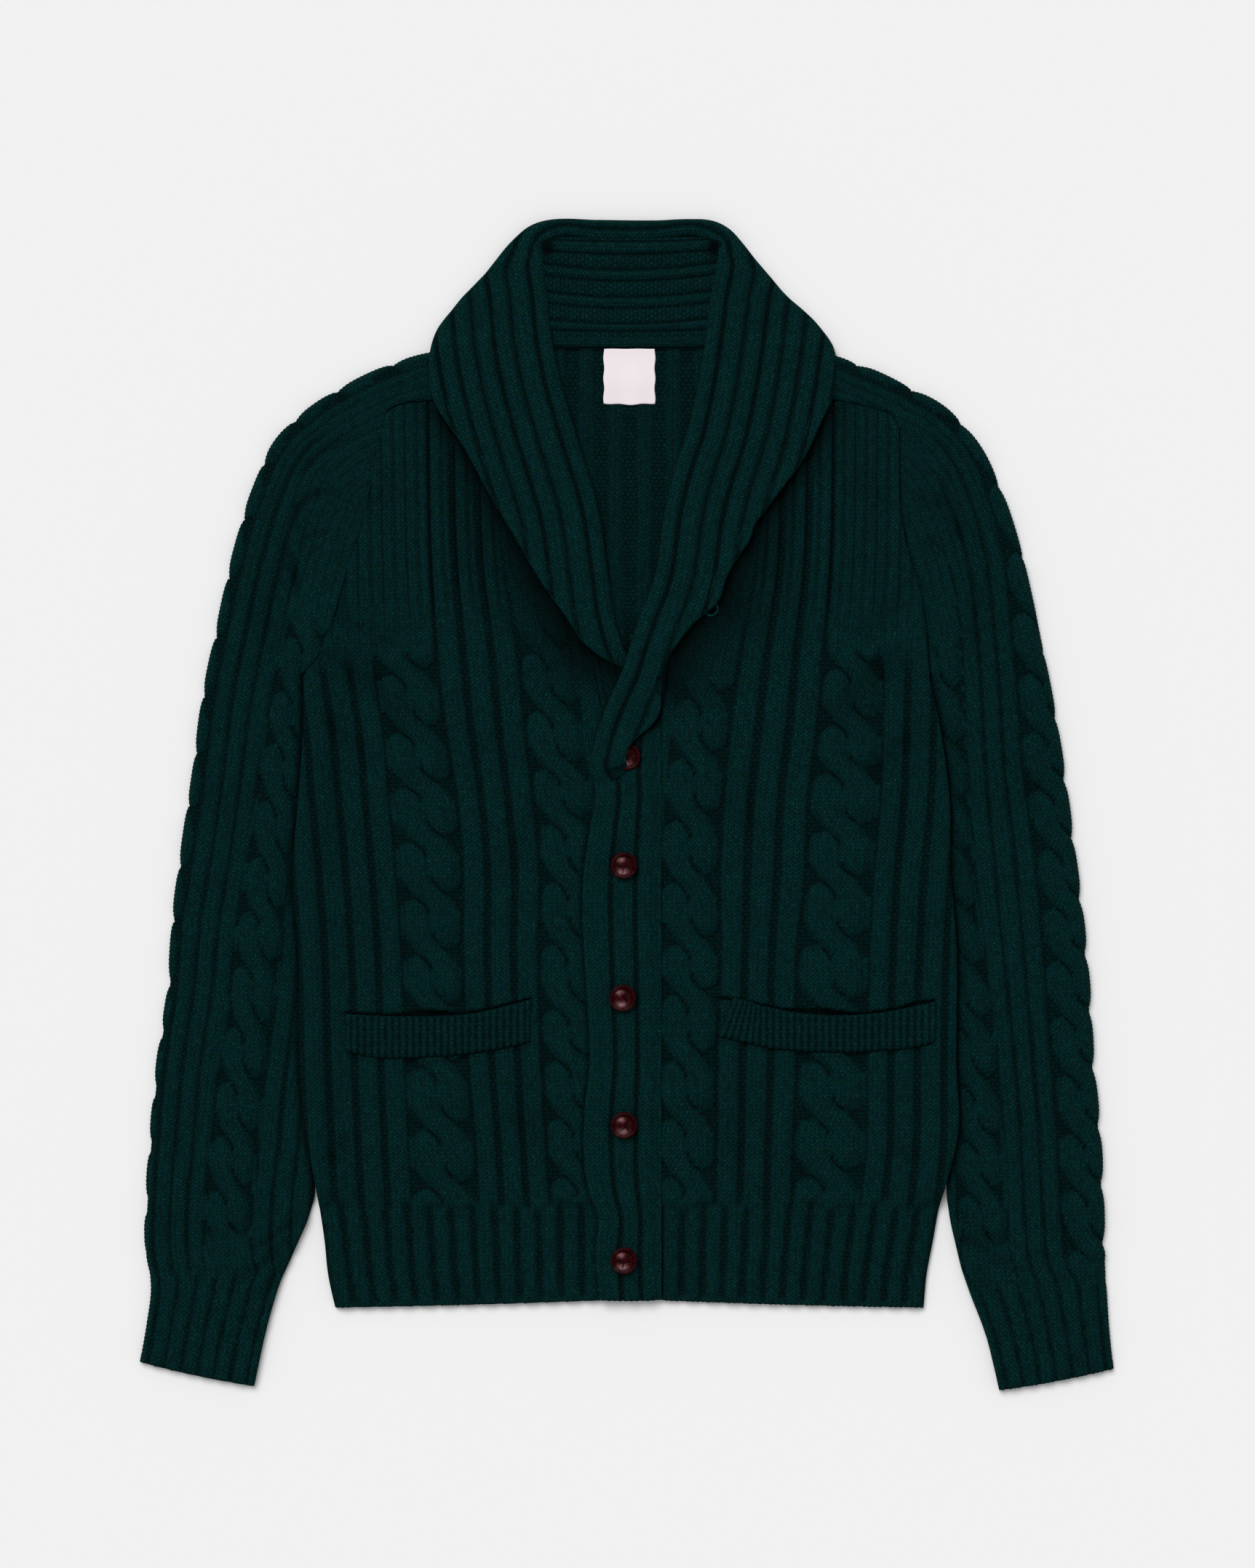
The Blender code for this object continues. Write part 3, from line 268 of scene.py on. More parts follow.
def slack(x, y):
    # the slow unevenness of cloth that lies loosely
    waves = 0.32 * np.sin(x / 31 + 1.3) * np.sin(y / 47 + 0.4)
    waves += 0.26 * np.sin((x + 0.7 * y) / 23 + 2.1) + 0.18 * np.sin((0.8 * x - y) / 17 + 0.6)
    return waves


def gridCells(rows, columns):
    i = np.arange(rows * columns).reshape(rows, columns)
    return np.stack([i[:-1, :-1], i[:-1, 1:], i[1:, 1:], i[1:, :-1]], -1).reshape(-1, 4)


def addObject(name, data):
    made = bpy.data.objects.new(name, data)
    bpy.context.scene.collection.objects.link(made)
    return made


def makeMesh(name, points, faces, uvs, fields, material):
    # faces and uvs hold matching arrays, one for each number of corners
    mesh = bpy.data.meshes.new(name)
    corners = np.concatenate([f.reshape(-1) for f in faces])
    counts = np.concatenate([np.full(len(f), f.shape[1]) for f in faces])
    starts = np.concatenate([[0], np.cumsum(counts)[:-1]])
    mesh.vertices.add(len(points))
    mesh.vertices.foreach_set("co", (np.asarray(points) * mm).astype(np.float32).reshape(-1))
    mesh.loops.add(len(corners))
    mesh.loops.foreach_set("vertex_index", corners.astype(np.int32))
    mesh.polygons.add(len(counts))
    mesh.polygons.foreach_set("loop_start", starts.astype(np.int32))
    mesh.update(calc_edges=True)
    layer = mesh.uv_layers.new(name="stitches")
    layer.data.foreach_set("uv", np.concatenate([u.reshape(-1) for u in uvs]).astype(np.float32))
    for field, values in fields.items():
        data = mesh.attributes.new(field, "FLOAT", "POINT").data
        data.foreach_set("value", np.asarray(values, np.float32))
    mesh.polygons.foreach_set("use_smooth", np.ones(len(counts), bool))
    mesh.validate()
    mesh.materials.append(material)
    return addObject(name, mesh)


def welded(points):
    # the first of each group of points that fell together, and which group each point is in
    _, first, group = np.unique(np.round(points, 3), axis=0, return_index=True, return_inverse=True)
    return first, group.reshape(-1)


def cleanCells(cells, weld, uvs):
    # drops the corners that fell together, and the cells with nothing left
    cells = weld[cells]
    own = cells != np.roll(cells, -1, axis=1)
    count = own.sum(1)
    four, three = count == 4, count == 3
    quads, triangles = cells[four], cells[three][own[three]].reshape(-1, 3)
    return [quads, triangles], [uvs[four], uvs[three][own[three]].reshape(-1, 3, 2)]


def facesUp(points, faces):
    quads = faces[0]
    a, b, c = points[quads[:, 0]], points[quads[:, 1]], points[quads[:, 2]]
    return np.cross(b - a, c - a)[:, 2].sum() > 0


def clothSheet(name, x, y, low, high, uvs, fields, material):
    # one cloth over a grid: its outer face, its plain inner face and the edge between them
    flat = np.stack([x, y], -1).reshape(-1, 2)
    first, weld = welded(flat)
    outer = np.column_stack([flat[first], high.reshape(-1)[first]])
    inner = np.column_stack([flat[first], low.reshape(-1)[first]])
    faces, cornerUvs = cleanCells(gridCells(*x.shape), weld, uvs)
    if not facesUp(outer, faces):
        faces, cornerUvs = [f[:, ::-1] for f in faces], [u[:, ::-1] for u in cornerUvs]
    count = len(outer)
    used = np.concatenate([np.stack([f, np.roll(f, -1, 1)], -1).reshape(-1, 2) for f in faces])
    there = set(map(tuple, used.tolist()))
    edges = np.array([e for e in map(tuple, used.tolist()) if (e[1], e[0]) not in there])
    a, b = edges.T
    vertexUv = np.zeros((count, 2))
    for f, u in zip(faces, cornerUvs):
        vertexUv[f.reshape(-1)] = u.reshape(-1, 2)
    rim = np.stack([b, a, a + count, b + count], 1)
    rimUv = vertexUv[np.stack([b, a, a, b], 1)] + np.array([[0, 0], [0, 0], [0.6, 0], [0.6, 0]])
    allFaces = [np.concatenate([faces[0], faces[0][:, ::-1] + count, rim]),
                np.concatenate([faces[1], faces[1][:, ::-1] + count])]
    allUvs = [np.concatenate([cornerUvs[0], cornerUvs[0][:, ::-1], rimUv]),
              np.concatenate([cornerUvs[1], cornerUvs[1][:, ::-1]])]
    values = {k: np.tile(np.broadcast_to(v, x.shape).reshape(-1)[first], 2) for k, v in fields.items()}
    return makeMesh(name, np.concatenate([outer, inner]), allFaces, allUvs, values, material)


def clothSkin(name, points, uvs, fields, material):
    # one cloth whose grid runs round its folds
    rows, columns = points.shape[:2]
    flat = points.reshape(-1, 3)
    first, weld = welded(flat)
    faces, cornerUvs = cleanCells(gridCells(rows, columns), weld, uvs)
    values = {k: np.broadcast_to(v, (rows, columns)).reshape(-1)[first] for k, v in fields.items()}
    return makeMesh(name, flat[first], faces, cornerUvs, values, material)


def joinedTubes(name, pieces, material):
    # one mesh out of several tubes that share their layers, with their open ends closed
    shape = bmesh.new()
    for piece in pieces:
        shape.from_mesh(piece.data)
        bpy.data.objects.remove(piece)
    bmesh.ops.holes_fill(shape, edges=[e for e in shape.edges if e.is_boundary])
    bmesh.ops.recalc_face_normals(shape, faces=shape.faces)
    mesh = bpy.data.meshes.new(name)
    shape.to_mesh(mesh)
    shape.free()
    mesh.materials.append(material)
    return addObject(name, mesh)


def cellUvs(u, v):
    # the four corners of every cell of a grid
    cells = gridCells(*u.shape)
    return np.stack([u.reshape(-1)[cells], v.reshape(-1)[cells]], -1)


def withRopes(uvs, ropes):
    # ropes holds (across, along, wales) grids, with across beyond 1 outside each rope
    for across, along, wales in ropes:
        cells = gridCells(*across.shape)
        a, s = across.reshape(-1)[cells], along.reshape(-1)[cells]
        on = (np.abs(a) <= 1.02).all(1)
        uvs[on, :, 0] = ropeUvs(a[on], s[on], wales)
    return uvs


class Socket:
    # a node's output, which can be worked with as a number
    def __init__(self, out):
        self.out = out

    def math(self, operation, *others):
        inputs = dict(enumerate((self,) + others))
        return addNode(self.out.id_data, "ShaderNodeMath", {"operation": operation}, inputs)

    def __add__(self, other):
        return self.math("ADD", other)

    def __mul__(self, other):
        return self.math("MULTIPLY", other)

    def __pow__(self, other):
        return self.math("POWER", other)


def setInputs(node, inputs):
    for name, value in inputs.items():
        if isinstance(value, Socket):
            node.id_data.links.new(value.out, node.inputs[name])
        else:
            node.inputs[name].default_value = value


def addNode(tree, kind, settings, inputs, out=0):
    node = tree.nodes.new(kind)
    for name, value in settings.items():
        setattr(node, name, value)
    setInputs(node, inputs)
    return Socket(node.outputs[out])


def newMaterial(name):
    made = bpy.data.materials.new(name)
    made.use_nodes = True
    return made, made.node_tree, made.node_tree.nodes["Principled BSDF"]


def rgba(hexColour):
    return (*toLinear(hexColour), 1)


def field(tree, name):
    return addNode(tree, "ShaderNodeAttribute", {"attribute_name": name}, {}, "Fac")


def objectPlace(tree):
    return addNode(tree, "ShaderNodeTexCoord", {}, {}, "Object")


def noise(tree, place, sizeMm, detail, roughness=0.5):
    inputs = {"Vector": place, "Scale": 1 / (sizeMm * mm), "Detail": detail, "Roughness": roughness}
    return addNode(tree, "ShaderNodeTexNoise", {}, inputs)


def mixed(tree, share, first, second):
    # first and second are colours, as hex or from a node
    a, b = (c if isinstance(c, Socket) else rgba(c) for c in (first, second))
    return addNode(tree, "ShaderNodeMix", {"data_type": "RGBA"}, {0: share, 6: a, 7: b}, 2)


def bumped(tree, height, distanceMm, strength):
    inputs = {"Height": height, "Distance": distanceMm * mm, "Strength": strength}
    return addNode(tree, "ShaderNodeBump", {}, inputs)


wool = {
    "green": "#02241A",         # the melange's two main colours
    "blue": "#031F29",
    "fleck": "#1A5C50",
    "melangeMm": 3.4,
    "fibreMm": 0.6,
    "light": 0.95,
    "legSlope": 1.7,            # how steeply a stitch's legs lean
    "bumpMm": 0.55,
    "flecksFrom": 0.56,         # the noise values over which a light hair comes in
    "flecksTo": 0.74,
    "fleckMost": 0.5,
    "hairMm": 1.1,
    # how dark the painted shade makes the wool
    "paintedShadeDark": 0.84,
    "roughness": 0.95,
    "specular": 0.04,
    "sheen": 0.05,
    "sheenTint": "#2E6B66",
}


def woolKnit(name, paintedLightness):
    # heathered wool, knitted: two plies of yarn in V stitches, with purl bumps in the troughs
    made, tree, shader = newMaterial(name)
    place = objectPlace(tree)
    uv = addNode(tree, "ShaderNodeUVMap", {"uv_map": "stitches"}, {})
    u, v = (addNode(tree, "ShaderNodeSeparateXYZ", {}, {0: uv}, axis) for axis in (0, 1))
    # purl marks the purl stitches; the other field is painted shade, for troughs, grooves, creases and what
    # lies in the shadow of other pieces
    purl, paintedShade = field(tree, "purl"), field(tree, "paintedShade")
    # a knit stitch: two legs lean out from the wale's middle
    side = (u.math("FRACT") + -0.5).math("ABSOLUTE")
    row = v + side * -wool["legSlope"]
    leg = (side * 4.0 + -1.0).math("ABSOLUTE") ** 2.0 * -1.0 + 1.0
    along = (row.math("FRACT") * math.pi).math("SINE")
    between = (side * 2.0) ** 7.0
    strand = leg ** 0.5 * 0.5 + (between * -0.4 + 0.5)
    knitHeight = strand * (along ** 0.8 * 0.88 + 0.12)
    # a purl stitch: a bump across, each row half a stitch along
    shift = v.math("FLOOR").math("FLOORED_MODULO", 2.0) * 0.5
    bump = ((u + shift) * math.pi).math("SINE").math("ABSOLUTE")
    hump = (v.math("FRACT") * math.pi).math("SINE")
    purlHeight = (hump * 0.7 + 0.3) * (bump * 0.72 + 0.28)
    height = addNode(tree, "ShaderNodeMix", {"data_type": "FLOAT"}, {0: purl, 2: knitHeight, 3: purlHeight})
    fibres = noise(tree, place, wool["fibreMm"], 3.0, 0.7)
    # colour: slow drifts of green and blue, a tone for each stitch, painted shade in each stitch's low parts
    # and from the piece's painted shade field, the copy's painted lightness, light fibres on top
    drift = noise(tree, place, wool["melangeMm"], 4.0, 0.75)
    share = addNode(tree, "ShaderNodeMapRange", {}, {0: drift, 1: 0.3, 2: 0.7})
    colour = mixed(tree, share, wool["green"], wool["blue"])
    stitch = addNode(tree, "ShaderNodeCombineXYZ", {}, {0: (u * 2.0).math("FLOOR"), 1: row.math("FLOOR")})
    tone = addNode(tree, "ShaderNodeTexWhiteNoise", {"noise_dimensions": "2D"}, {0: stitch})
    light = (tone * 0.5 + 0.75) * (height * 1.1 + 0.34) * (paintedShade * -wool["paintedShadeDark"] + 1.0)
    light = light * (fibres * 2.8 + -0.4)
    light = light * (paintedLightness * wool["light"])
    colour = addNode(tree, "ShaderNodeVectorMath", {"operation": "SCALE"}, {0: colour, "Scale": light})
    hairs = noise(tree, place, wool["hairMm"], 2.0)
    flecks = addNode(tree, "ShaderNodeMapRange", {},
                     {0: hairs, 1: wool["flecksFrom"], 2: wool["flecksTo"], 4: wool["fleckMost"]})
    # light fibres of the heathered yarn, kept to the stitches' crests and out of the painted shade: partly
    # the yarn's own fibres, partly a painted highlight
    lit = addNode(tree, "ShaderNodeClamp", {}, {"Value": paintedShade * -1.1 + 1.0})
    setInputs(shader, {
        "Base Color": mixed(tree, flecks * height * lit, colour, wool["fleck"]),
        "Normal": bumped(tree, height + fibres * 0.35, wool["bumpMm"], 0.9),
        "Roughness": wool["roughness"], "Specular IOR Level": wool["specular"],
        "Sheen Weight": wool["sheen"], "Sheen Roughness": 0.6, "Sheen Tint": rgba(wool["sheenTint"])})
    return made


# copies of one wool with painted light: the collar's rib lighter, the inside faces darker and the yarn loop
# much lighter, for how the light falls on them
knitWool = woolKnit("heatheredWoolKnit", 1.0)
insideWool = woolKnit("heatheredWoolInside", 0.98)
collarWool = woolKnit("heatheredWoolRib", 1.05)
loopWool = woolKnit("heatheredWoolYarn", 2.2)
print("materials made")


body = {
    "side": {"columns": ("y", "right", "left"), "rows": (
        (-371.5, 215, 221), (-351, 220, 223), (-324, 223, 228), (-297, 227, 233), (-281, 229.5, 237.5),
        (-246, 236, 246), (-192, 241, 245), (-106, 242, 245), (-52, 246, 241), (2, 242, 240),
        (50, 238.5, 234), (94, 238, 225))},
    "armhole": {
        "right": ((94, 238), (110, 227), (134, 217.5), (154, 212), (181, 204), (208, 194), (240, 188.5),
                  (262, 183), (288, 178), (293.5, 172), (296, 162), (298.5, 140), (303, 100)),
        "left": ((94, 225), (120, 223), (148, 220.5), (170, 215), (194, 207.5), (218, 204), (245, 203.5),
                 (280, 203), (287.5, 197), (292.5, 184), (298, 157), (303, 100))},
    "neck": {
        "right": ((-380, 16), (62, 16), (112, 25), (164, 49), (218, 75), (272, 92), (303.4, 96)),
        "left": ((-380, 26.4), (62, 26.4), (112, 31), (164, 52), (218, 75), (272, 92), (303.4, 96))},
    "backShoulder": {          # where the back's edge leaves the armhole, as y and then how far out
        "right": ((288, 297, 303, 340), (178, 120, 100, 94)),
        "left": ((280, 292, 303, 340), (203, 160, 100, 96))},
    "low": -371.5,
    "underarm": 94.0,
    "shoulder": 303.4,
    "hemEdge": -368.5,
    "hemTop": -299.0,
    "hemRibs": 13,
    "lift": 6.1,              # over the sleeve that is tucked under the side
    "tuck": 10.0,
    "liftRamp": 22.0,
}
tape = {"rows": ((-64, 339.2, 346.5), (0, 338.4, 345.7), (66, 339.2, 346.5))}
label = {"left": -16.0, "right": 22.0, "low": 296.5, "high": 337.0, "weft": "#EFE3E8", "warp": "#FFF7FA"}


def sideOf(side, y):
    return column(body["side"], side, y)


def sideUnder(side, y):
    # the side's line, kept going straight up past the underarm
    return sideOf(side, np.minimum(y, body["underarm"]))


def outerEdge(side, y):
    rows = np.array(body["armhole"][side], float)
    return np.where(y < body["underarm"], sideOf(side, y), np.interp(y, rows[:, 0], rows[:, 1]))


def innerEdge(side, y):
    rows = np.array(body["neck"][side], float)
    return np.interp(y, rows[:, 0], rows[:, 1])


def bodyLift(side, x, y):
    depth = sideUnder(side, y) - np.abs(x)
    across = smooth(1 - (depth - body["tuck"] - 1) / body["liftRamp"])
    return body["lift"] * across * smooth((y + 303) / 19) * (1 - smooth((y - 98) / 100))


# Where the cables and ribs run, measured from the centre line.
wales = {
    "right": {"columns": ("y", "cable1", "cable2In", "cable2Out"), "rows": (
        (-299, 54, 110, 156), (-246, 58, 113, 159), (-203, 60, 117, 161), (-106, 63, 122, 164),
        (-52, 62, 122, 168), (2, 67, 126, 173), (56, 73, 135, 178), (110, 78, 141, 186),
        (164, 87, 145, 188), (300, 92, 148, 190))},
    "left": {"columns": ("y", "cable1", "cable2In", "cable2Out"), "rows": (
        (-299, 65, 124, 172), (-246, 66, 126, 177), (-203, 66, 128, 177), (-106, 69, 129, 179),
        (-52, 68, 135, 182), (2, 71, 137, 187), (56, 76, 144, 189), (110, 84, 148, 190),
        (164, 94, 153, 193), (300, 98, 156, 195))},
}
front = {
    "ropes": ((0, 10.5), (25.5, 37.5)),     # the stitches of each cable, counted from the first one's start
    "ribStitches": 5,
    "cable1Width": 41.0,
    "cable1Top": {"right": 150.0, "left": 95.0},
    "cable2Top": 118.0,
    "arcs1": {"right": (67, 24, -16.5, -60, -106, -154, -192, -235, -278),
              "left": (32, -14, -60, -106, -143, -192, -235, -278)},
    "arcs2": {"right": (94, 51, 10.5, -30, -72, -114, -154, -197, -243, -286.5),
              "left": (98.5, 56.5, 21, -22, -60, -106, -151.5, -192, -235, -278)},
    "outerRibTop": 112.0,
    "creases": {
        "right": ((-236, 120, -150, 40, 9, 11, 1.5), (-226, 160, -160, 110, -6, 9, 1.1),
                  (-238, 70, -178, 18, 5, 9, 1.2), (-205, 214, -160, 232, 3, 10, 0.8),
                  (-232, -268, -196, -240, -4, 7, 1.0), (-130, 250, -118, 150, 5, 14, 0.8),
                  (-70, -20, -110, -60, 6, 12, 0.7), (-90, -225, -60, -262, 3, 10, 0.6)),
        "left": ((224, 118, 150, 52, -8, 11, 1.4), (216, 166, 160, 116, 5, 10, 1.0),
                 (232, 62, 178, 8, -6, 9, 1.2), (200, 222, 158, 236, -3, 10, 0.8),
                 (232, -262, 192, -246, 4, 7, 0.9), (128, 246, 122, 150, -5, 13, 0.8),
                 (80, 30, 112, -36, -5, 12, 0.6), (66, -235, 92, -270, -3, 9, 0.6))},
}
# Pocket welts: where each starts and ends, with its lower and upper edge.
welts = {
    "right": {"columns": ("x", "low", "high"), "rows": (
        (-208, -184, -156.5), (-190, -188, -157.5), (-140, -188, -158), (-113, -185.5, -156),
        (-86, -181, -150), (-69, -177, -145.5))},
    "left": {"columns": ("x", "low", "high"), "rows": (
        (68, -173, -144.5), (79, -175.5, -146), (103, -181, -151), (130, -184, -156),
        (157, -185, -157.5), (184, -184, -156), (211, -181.5, -151.5), (230, -177, -146.5))},
}


def weltSpan(side):
    # where a welt starts and ends across the front
    across = [row[0] for row in welts[side]["rows"]]
    return min(across), max(across)


# The collar's rolled edge, from the left lapel's end round the neck to the right lapel's end.
collar = {
    "roll": ((-20, 12), (-26, 24), (-23, 45), (-14, 72), (-1, 102), (3.2, 116), (11, 139), (20.5, 164),
             (29.5, 218), (39, 255), (45.5, 274), (53, 307), (59.3, 345), (63.5, 378), (67.5, 403),
             (66, 414), (56, 419), (22, 417.5), (0, 417), (-22, 417.5), (-50, 419), (-59, 414.5),
             (-60.5, 403), (-57.5, 378), (-54, 344), (-47, 310), (-36, 272), (-20, 218), (-12, 164),
             (-8, 138), (-3, 120), (2, 107), (6, 96)),
    "edge": ((-9, 8), (1.5, 24.5), (0.4, 37), (6.8, 46.7), (20.8, 58.6), (26.4, 69.4), (26.2, 83.4),
             (27.4, 98.8), (38, 117), (50.3, 132.8), (70.5, 151.5), (74.3, 166), (82.4, 180.6),
             (93, 196), (96, 206.5), (103.3, 216), (115.7, 232.6), (132.4, 255.4), (146, 284.5),
             (153, 299), (156.5, 322), (155, 337), (146, 351), (134, 364), (118, 378), (107, 391),
             (95, 405), (84, 418), (69, 431), (50, 433), (22, 432.2), (-22, 432.6), (-50, 433),
             (-67, 430), (-82, 418), (-95, 405), (-105, 391), (-119, 378), (-130, 364), (-140, 351),
             (-144.5, 337), (-146, 322), (-142, 298), (-121, 266), (-102, 231), (-83, 199),
             (-62.5, 164), (-42, 135), (-32, 120), (-18, 108), (-2, 99.5), (6, 93)),
    "standSides": {"right": ((338.6, 98), (366, 90), (396, 76), (416, 66)),
                   "left": ((338.6, 98), (366, 91), (396, 78), (416, 68))},
    "fallBehind": ((353, 137), (362.5, 129), (376.5, 116.5), (389.5, 104), (403.5, 93), (416.5, 81),
                   (430.5, 64)),
    "fall": 2 * upper + 1.6,
    "troughs": (12.2, 28.4, 43.4, 57.6, 71.6, 85.6, 99.6, 113.6),
    "widest": 130,
    "topTrough": 8.6,         # the only one along the top, where the strip is narrow
    "step": 1.5,
}
collarOutline = list(collar["roll"]) + list(collar["edge"])[::-1]
collarShadeLine = [p for p in collar["edge"] if p[1] < 340]
band = {
    "edge": {"columns": ("y", "x"), "rows": (
        (-367.5, -19), (-332, -22), (-305, -20.5), (-290, -26.5), (-241, -31), (-187, -26.5),
        (-133, -29.5), (-52, -31), (-19, -26.5), (2, -22.5), (24, -24), (45, -21.5), (72, -12),
        (100, 0.8), (110, 4))},
}


def frontPanel(side):
    sign = sides[side]
    rows = np.append(np.arange(body["low"], 303.0, 1.5), body["shoulder"])
    stitches = np.arange(-7, 60.6, 0.5)
    rope1, rope2 = front["ropes"]
    table = wales[side]
    cable1, inTwo, outTwo = (column(table, name, rows) for name in ("cable1", "cable2In", "cable2Out"))
    x = np.empty((len(rows), len(stitches)))
    for i in range(len(rows)):
        inOne = cable1[i] - front["cable1Width"]
        marks = (inOne - 78, inOne, cable1[i], inTwo[i], outTwo[i], outTwo[i] + 117)
        x[i] = np.interp(stitches, (-20, *rope1, *rope2, rope2[1] + 30), marks)
    y = np.broadcast_to(rows[:, None], x.shape).copy()
    low, high = innerEdge(side, rows)[:, None] + 0.2, outerEdge(side, rows)[:, None]
    x = np.clip(x, low, high)
    u = np.broadcast_to(stitches, x.shape)
    v = y / knit["course"]
    hemShare = np.clip((x - low) / (high - low), 0, 1)
    depth = high - x
    # the hem's edge bows, and drops to the side
    bow = lerp(0.2, -5.2, hemShare) - 0.6 * np.sin(np.pi * hemShare)
    y += (bow + body["hemEdge"] - body["low"]) * (1 - smooth((y - body["low"]) / 26))
    y = np.where(y < body["hemEdge"] + 0.1 + bow, body["hemEdge"] + bow, y)
    x = x * sign
    # ribs between and beyond the cables
    every = front["ribStitches"]
    ribWidth = every * knit["wale"]
    innerRise, innerPurl = ribRelief(toNearest(u, every, rope1[1]) * knit["wale"], ribWidth)
    outerRise, outerPurl = ribRelief(toNearest(u, every, rope2[1]) * knit["wale"], ribWidth)
    inner, outer = isBetween(u, rope1[1], rope2[0]), u > rope2[1]
    ribbed = smooth((front["outerRibTop"] - y) / 18)
    relief = np.where(inner, innerRise, np.where(outer, lerp(1, outerRise, ribbed), 0)) * knit["rib"]
    purl = np.where(inner, innerPurl, np.where(outer, outerPurl * ribbed, 0))
    # painted shade for the sunken line where a rope's strands cross
    grooveShade = np.zeros(x.shape)
    ropes = []
    for (start, end), top, arcs in ((rope1, front["cable1Top"][side], "arcs1"),
                                    (rope2, front["cable2Top"], "arcs2")):
        share = (u - start) / (end - start)
        across = (2 * share - 1) * sign * 1.1
        along = twists(y, front[arcs][side])
        rise, edge = ropeRelief(np.clip(across, -1, 1), along)
        within, cabled = isBetween(u, start, end), smooth((top - y) / 9)
        on = within * cabled
        plain = 0.9 * knit["rib"] * (1 - cabled)
        relief = np.where(within, rise * knit["cable"] * on + plain, relief)
        grooveShade += edge * on
        purl += on * (1 - smooth(rise / 0.12))
        ropes.append((np.where(y < top, across, offRope), along, end - start))
    relief = np.where(u < 0, 0.6 * knit["rib"], relief)
    yoke = smooth((y - front["cable2Top"]) / 45) * (u > rope1[1])
    lines = bell(toNearest(u, 2.5) * knit["wale"], 0.95) * yoke
    relief = relief - lines
    # the hem: broad ribs with narrow troughs
    pitch = (high - low) / body["hemRibs"]
    toTrough = toNearest(hemShare * body["hemRibs"], 1) * pitch
    ragged = 2.2 * np.sin(x / 9.0) + 1.6 * np.sin(x / 4.3 + 1)
    hem = smooth((body["hemTop"] + 4 + ragged - y) / 7)
    hemRise, hemPurl = ribRelief(toTrough, 16, "hem")
    castOn = smooth((y + 366 - bow) / 3)
    relief = lerp(relief, hemRise * knit["rib"] * 0.85, hem) * lerp(1, lerp(0.75, 1, castOn), hem)
    purl = lerp(np.clip(purl, 0, 1), hemPurl * castOn, hem)
    grooveShade *= 1 - hem
    relief *= 1 - 0.3 * bell(y - body["hemTop"] - ragged, 3.5)
    # pressed flat under what lies on it
    table, (start, end) = welts[side], weltSpan(side)
    over = smooth((x - start + 0.4) / 2) * smooth((end + 0.4 - x) / 2)
    lowEdge, topEdge = column(table, "low", x), column(table, "high", x)
    under = over * smooth((y - lowEdge + 0.9) / 1.6) * smooth((topEdge + 1 - y) / 2)
    hung = 1.6 + 3.4 * bell(np.abs(x) - 146, 17) + 1.6 * bell(np.abs(x) - 214, 8)
    slit = over * smooth((y - topEdge + 1.5) / 2) * smooth((topEdge + hung + 1.2 - y) / 1.6)
    flat = np.maximum(under, inside(x, y, collarOutline) * 0.6)
    if side == "right":
        flat = np.maximum(flat, smooth((x - column(band["edge"], "x", y) + 2.4) / 1.4))
    relief *= 1 - np.maximum(flat, slit)
    relief -= 1.5 * slit
    # the collar's shade is widest at the foot of the V
    away = distanceTo(x, y, collarShadeLine) + 99 * inside(x, y, collarOutline)
    reachOf = lerp(9.5, 26, smooth((240 - y) / 110))
    shade = bell(away, reachOf, 1.5) * smooth((y - 60) / 30) * smooth((322 - y) / 40)
    under = smooth((y - lowEdge + 5) / 4) * smooth((lowEdge + 0.5 - y) / 1.5) * over
    # painted shade: along the ropes' crossings, in the purl troughs and the pocket slit, wide along the
    # collar's edge, just below each welt, in the creases' troughs and on the yoke's lines
    paintedShade = np.clip(np.maximum(0.95 * grooveShade + 0.62 * purl + slit, shade) + 0.25 * under, 0, 1)
    base = upper + bodyLift(side, x, y)
    drop = 2.3 * roundOff(depth / 4.5) * (y < 92)
    drop += (1.3 if side == "left" else 0.25) * bell(depth, 1.6) * (y >= 92)
    drop += 1.3 * (1 - smooth((y - (body["hemEdge"] + bow)) / 2.2))
    if side == "left":
        drop += 0.3 * bell(np.abs(x) - low, 1.6)
    folds = creases(x, y, front["creases"][side]) + 0.5 * slack(x, y) * smooth(depth / 20)
    paintedShade = np.clip(paintedShade - 0.2 * np.minimum(folds, 0) + 0.5 * lines, 0, 1)
    top = base + knit["wall"] + relief + folds * (1 - flat) - drop
    top = np.maximum(top, base + 0.8)
    uvs = withRopes(cellUvs(u, v), ropes)
    edgeRuns["front_" + side] = np.stack([x[0], y[0] + 1.0, (base + top)[0] / 2], -1)
    return clothSheet("front_" + side + "_knit", x, y, base, top, uvs, {"purl": purl, "paintedShade": paintedShade}, knitWool)


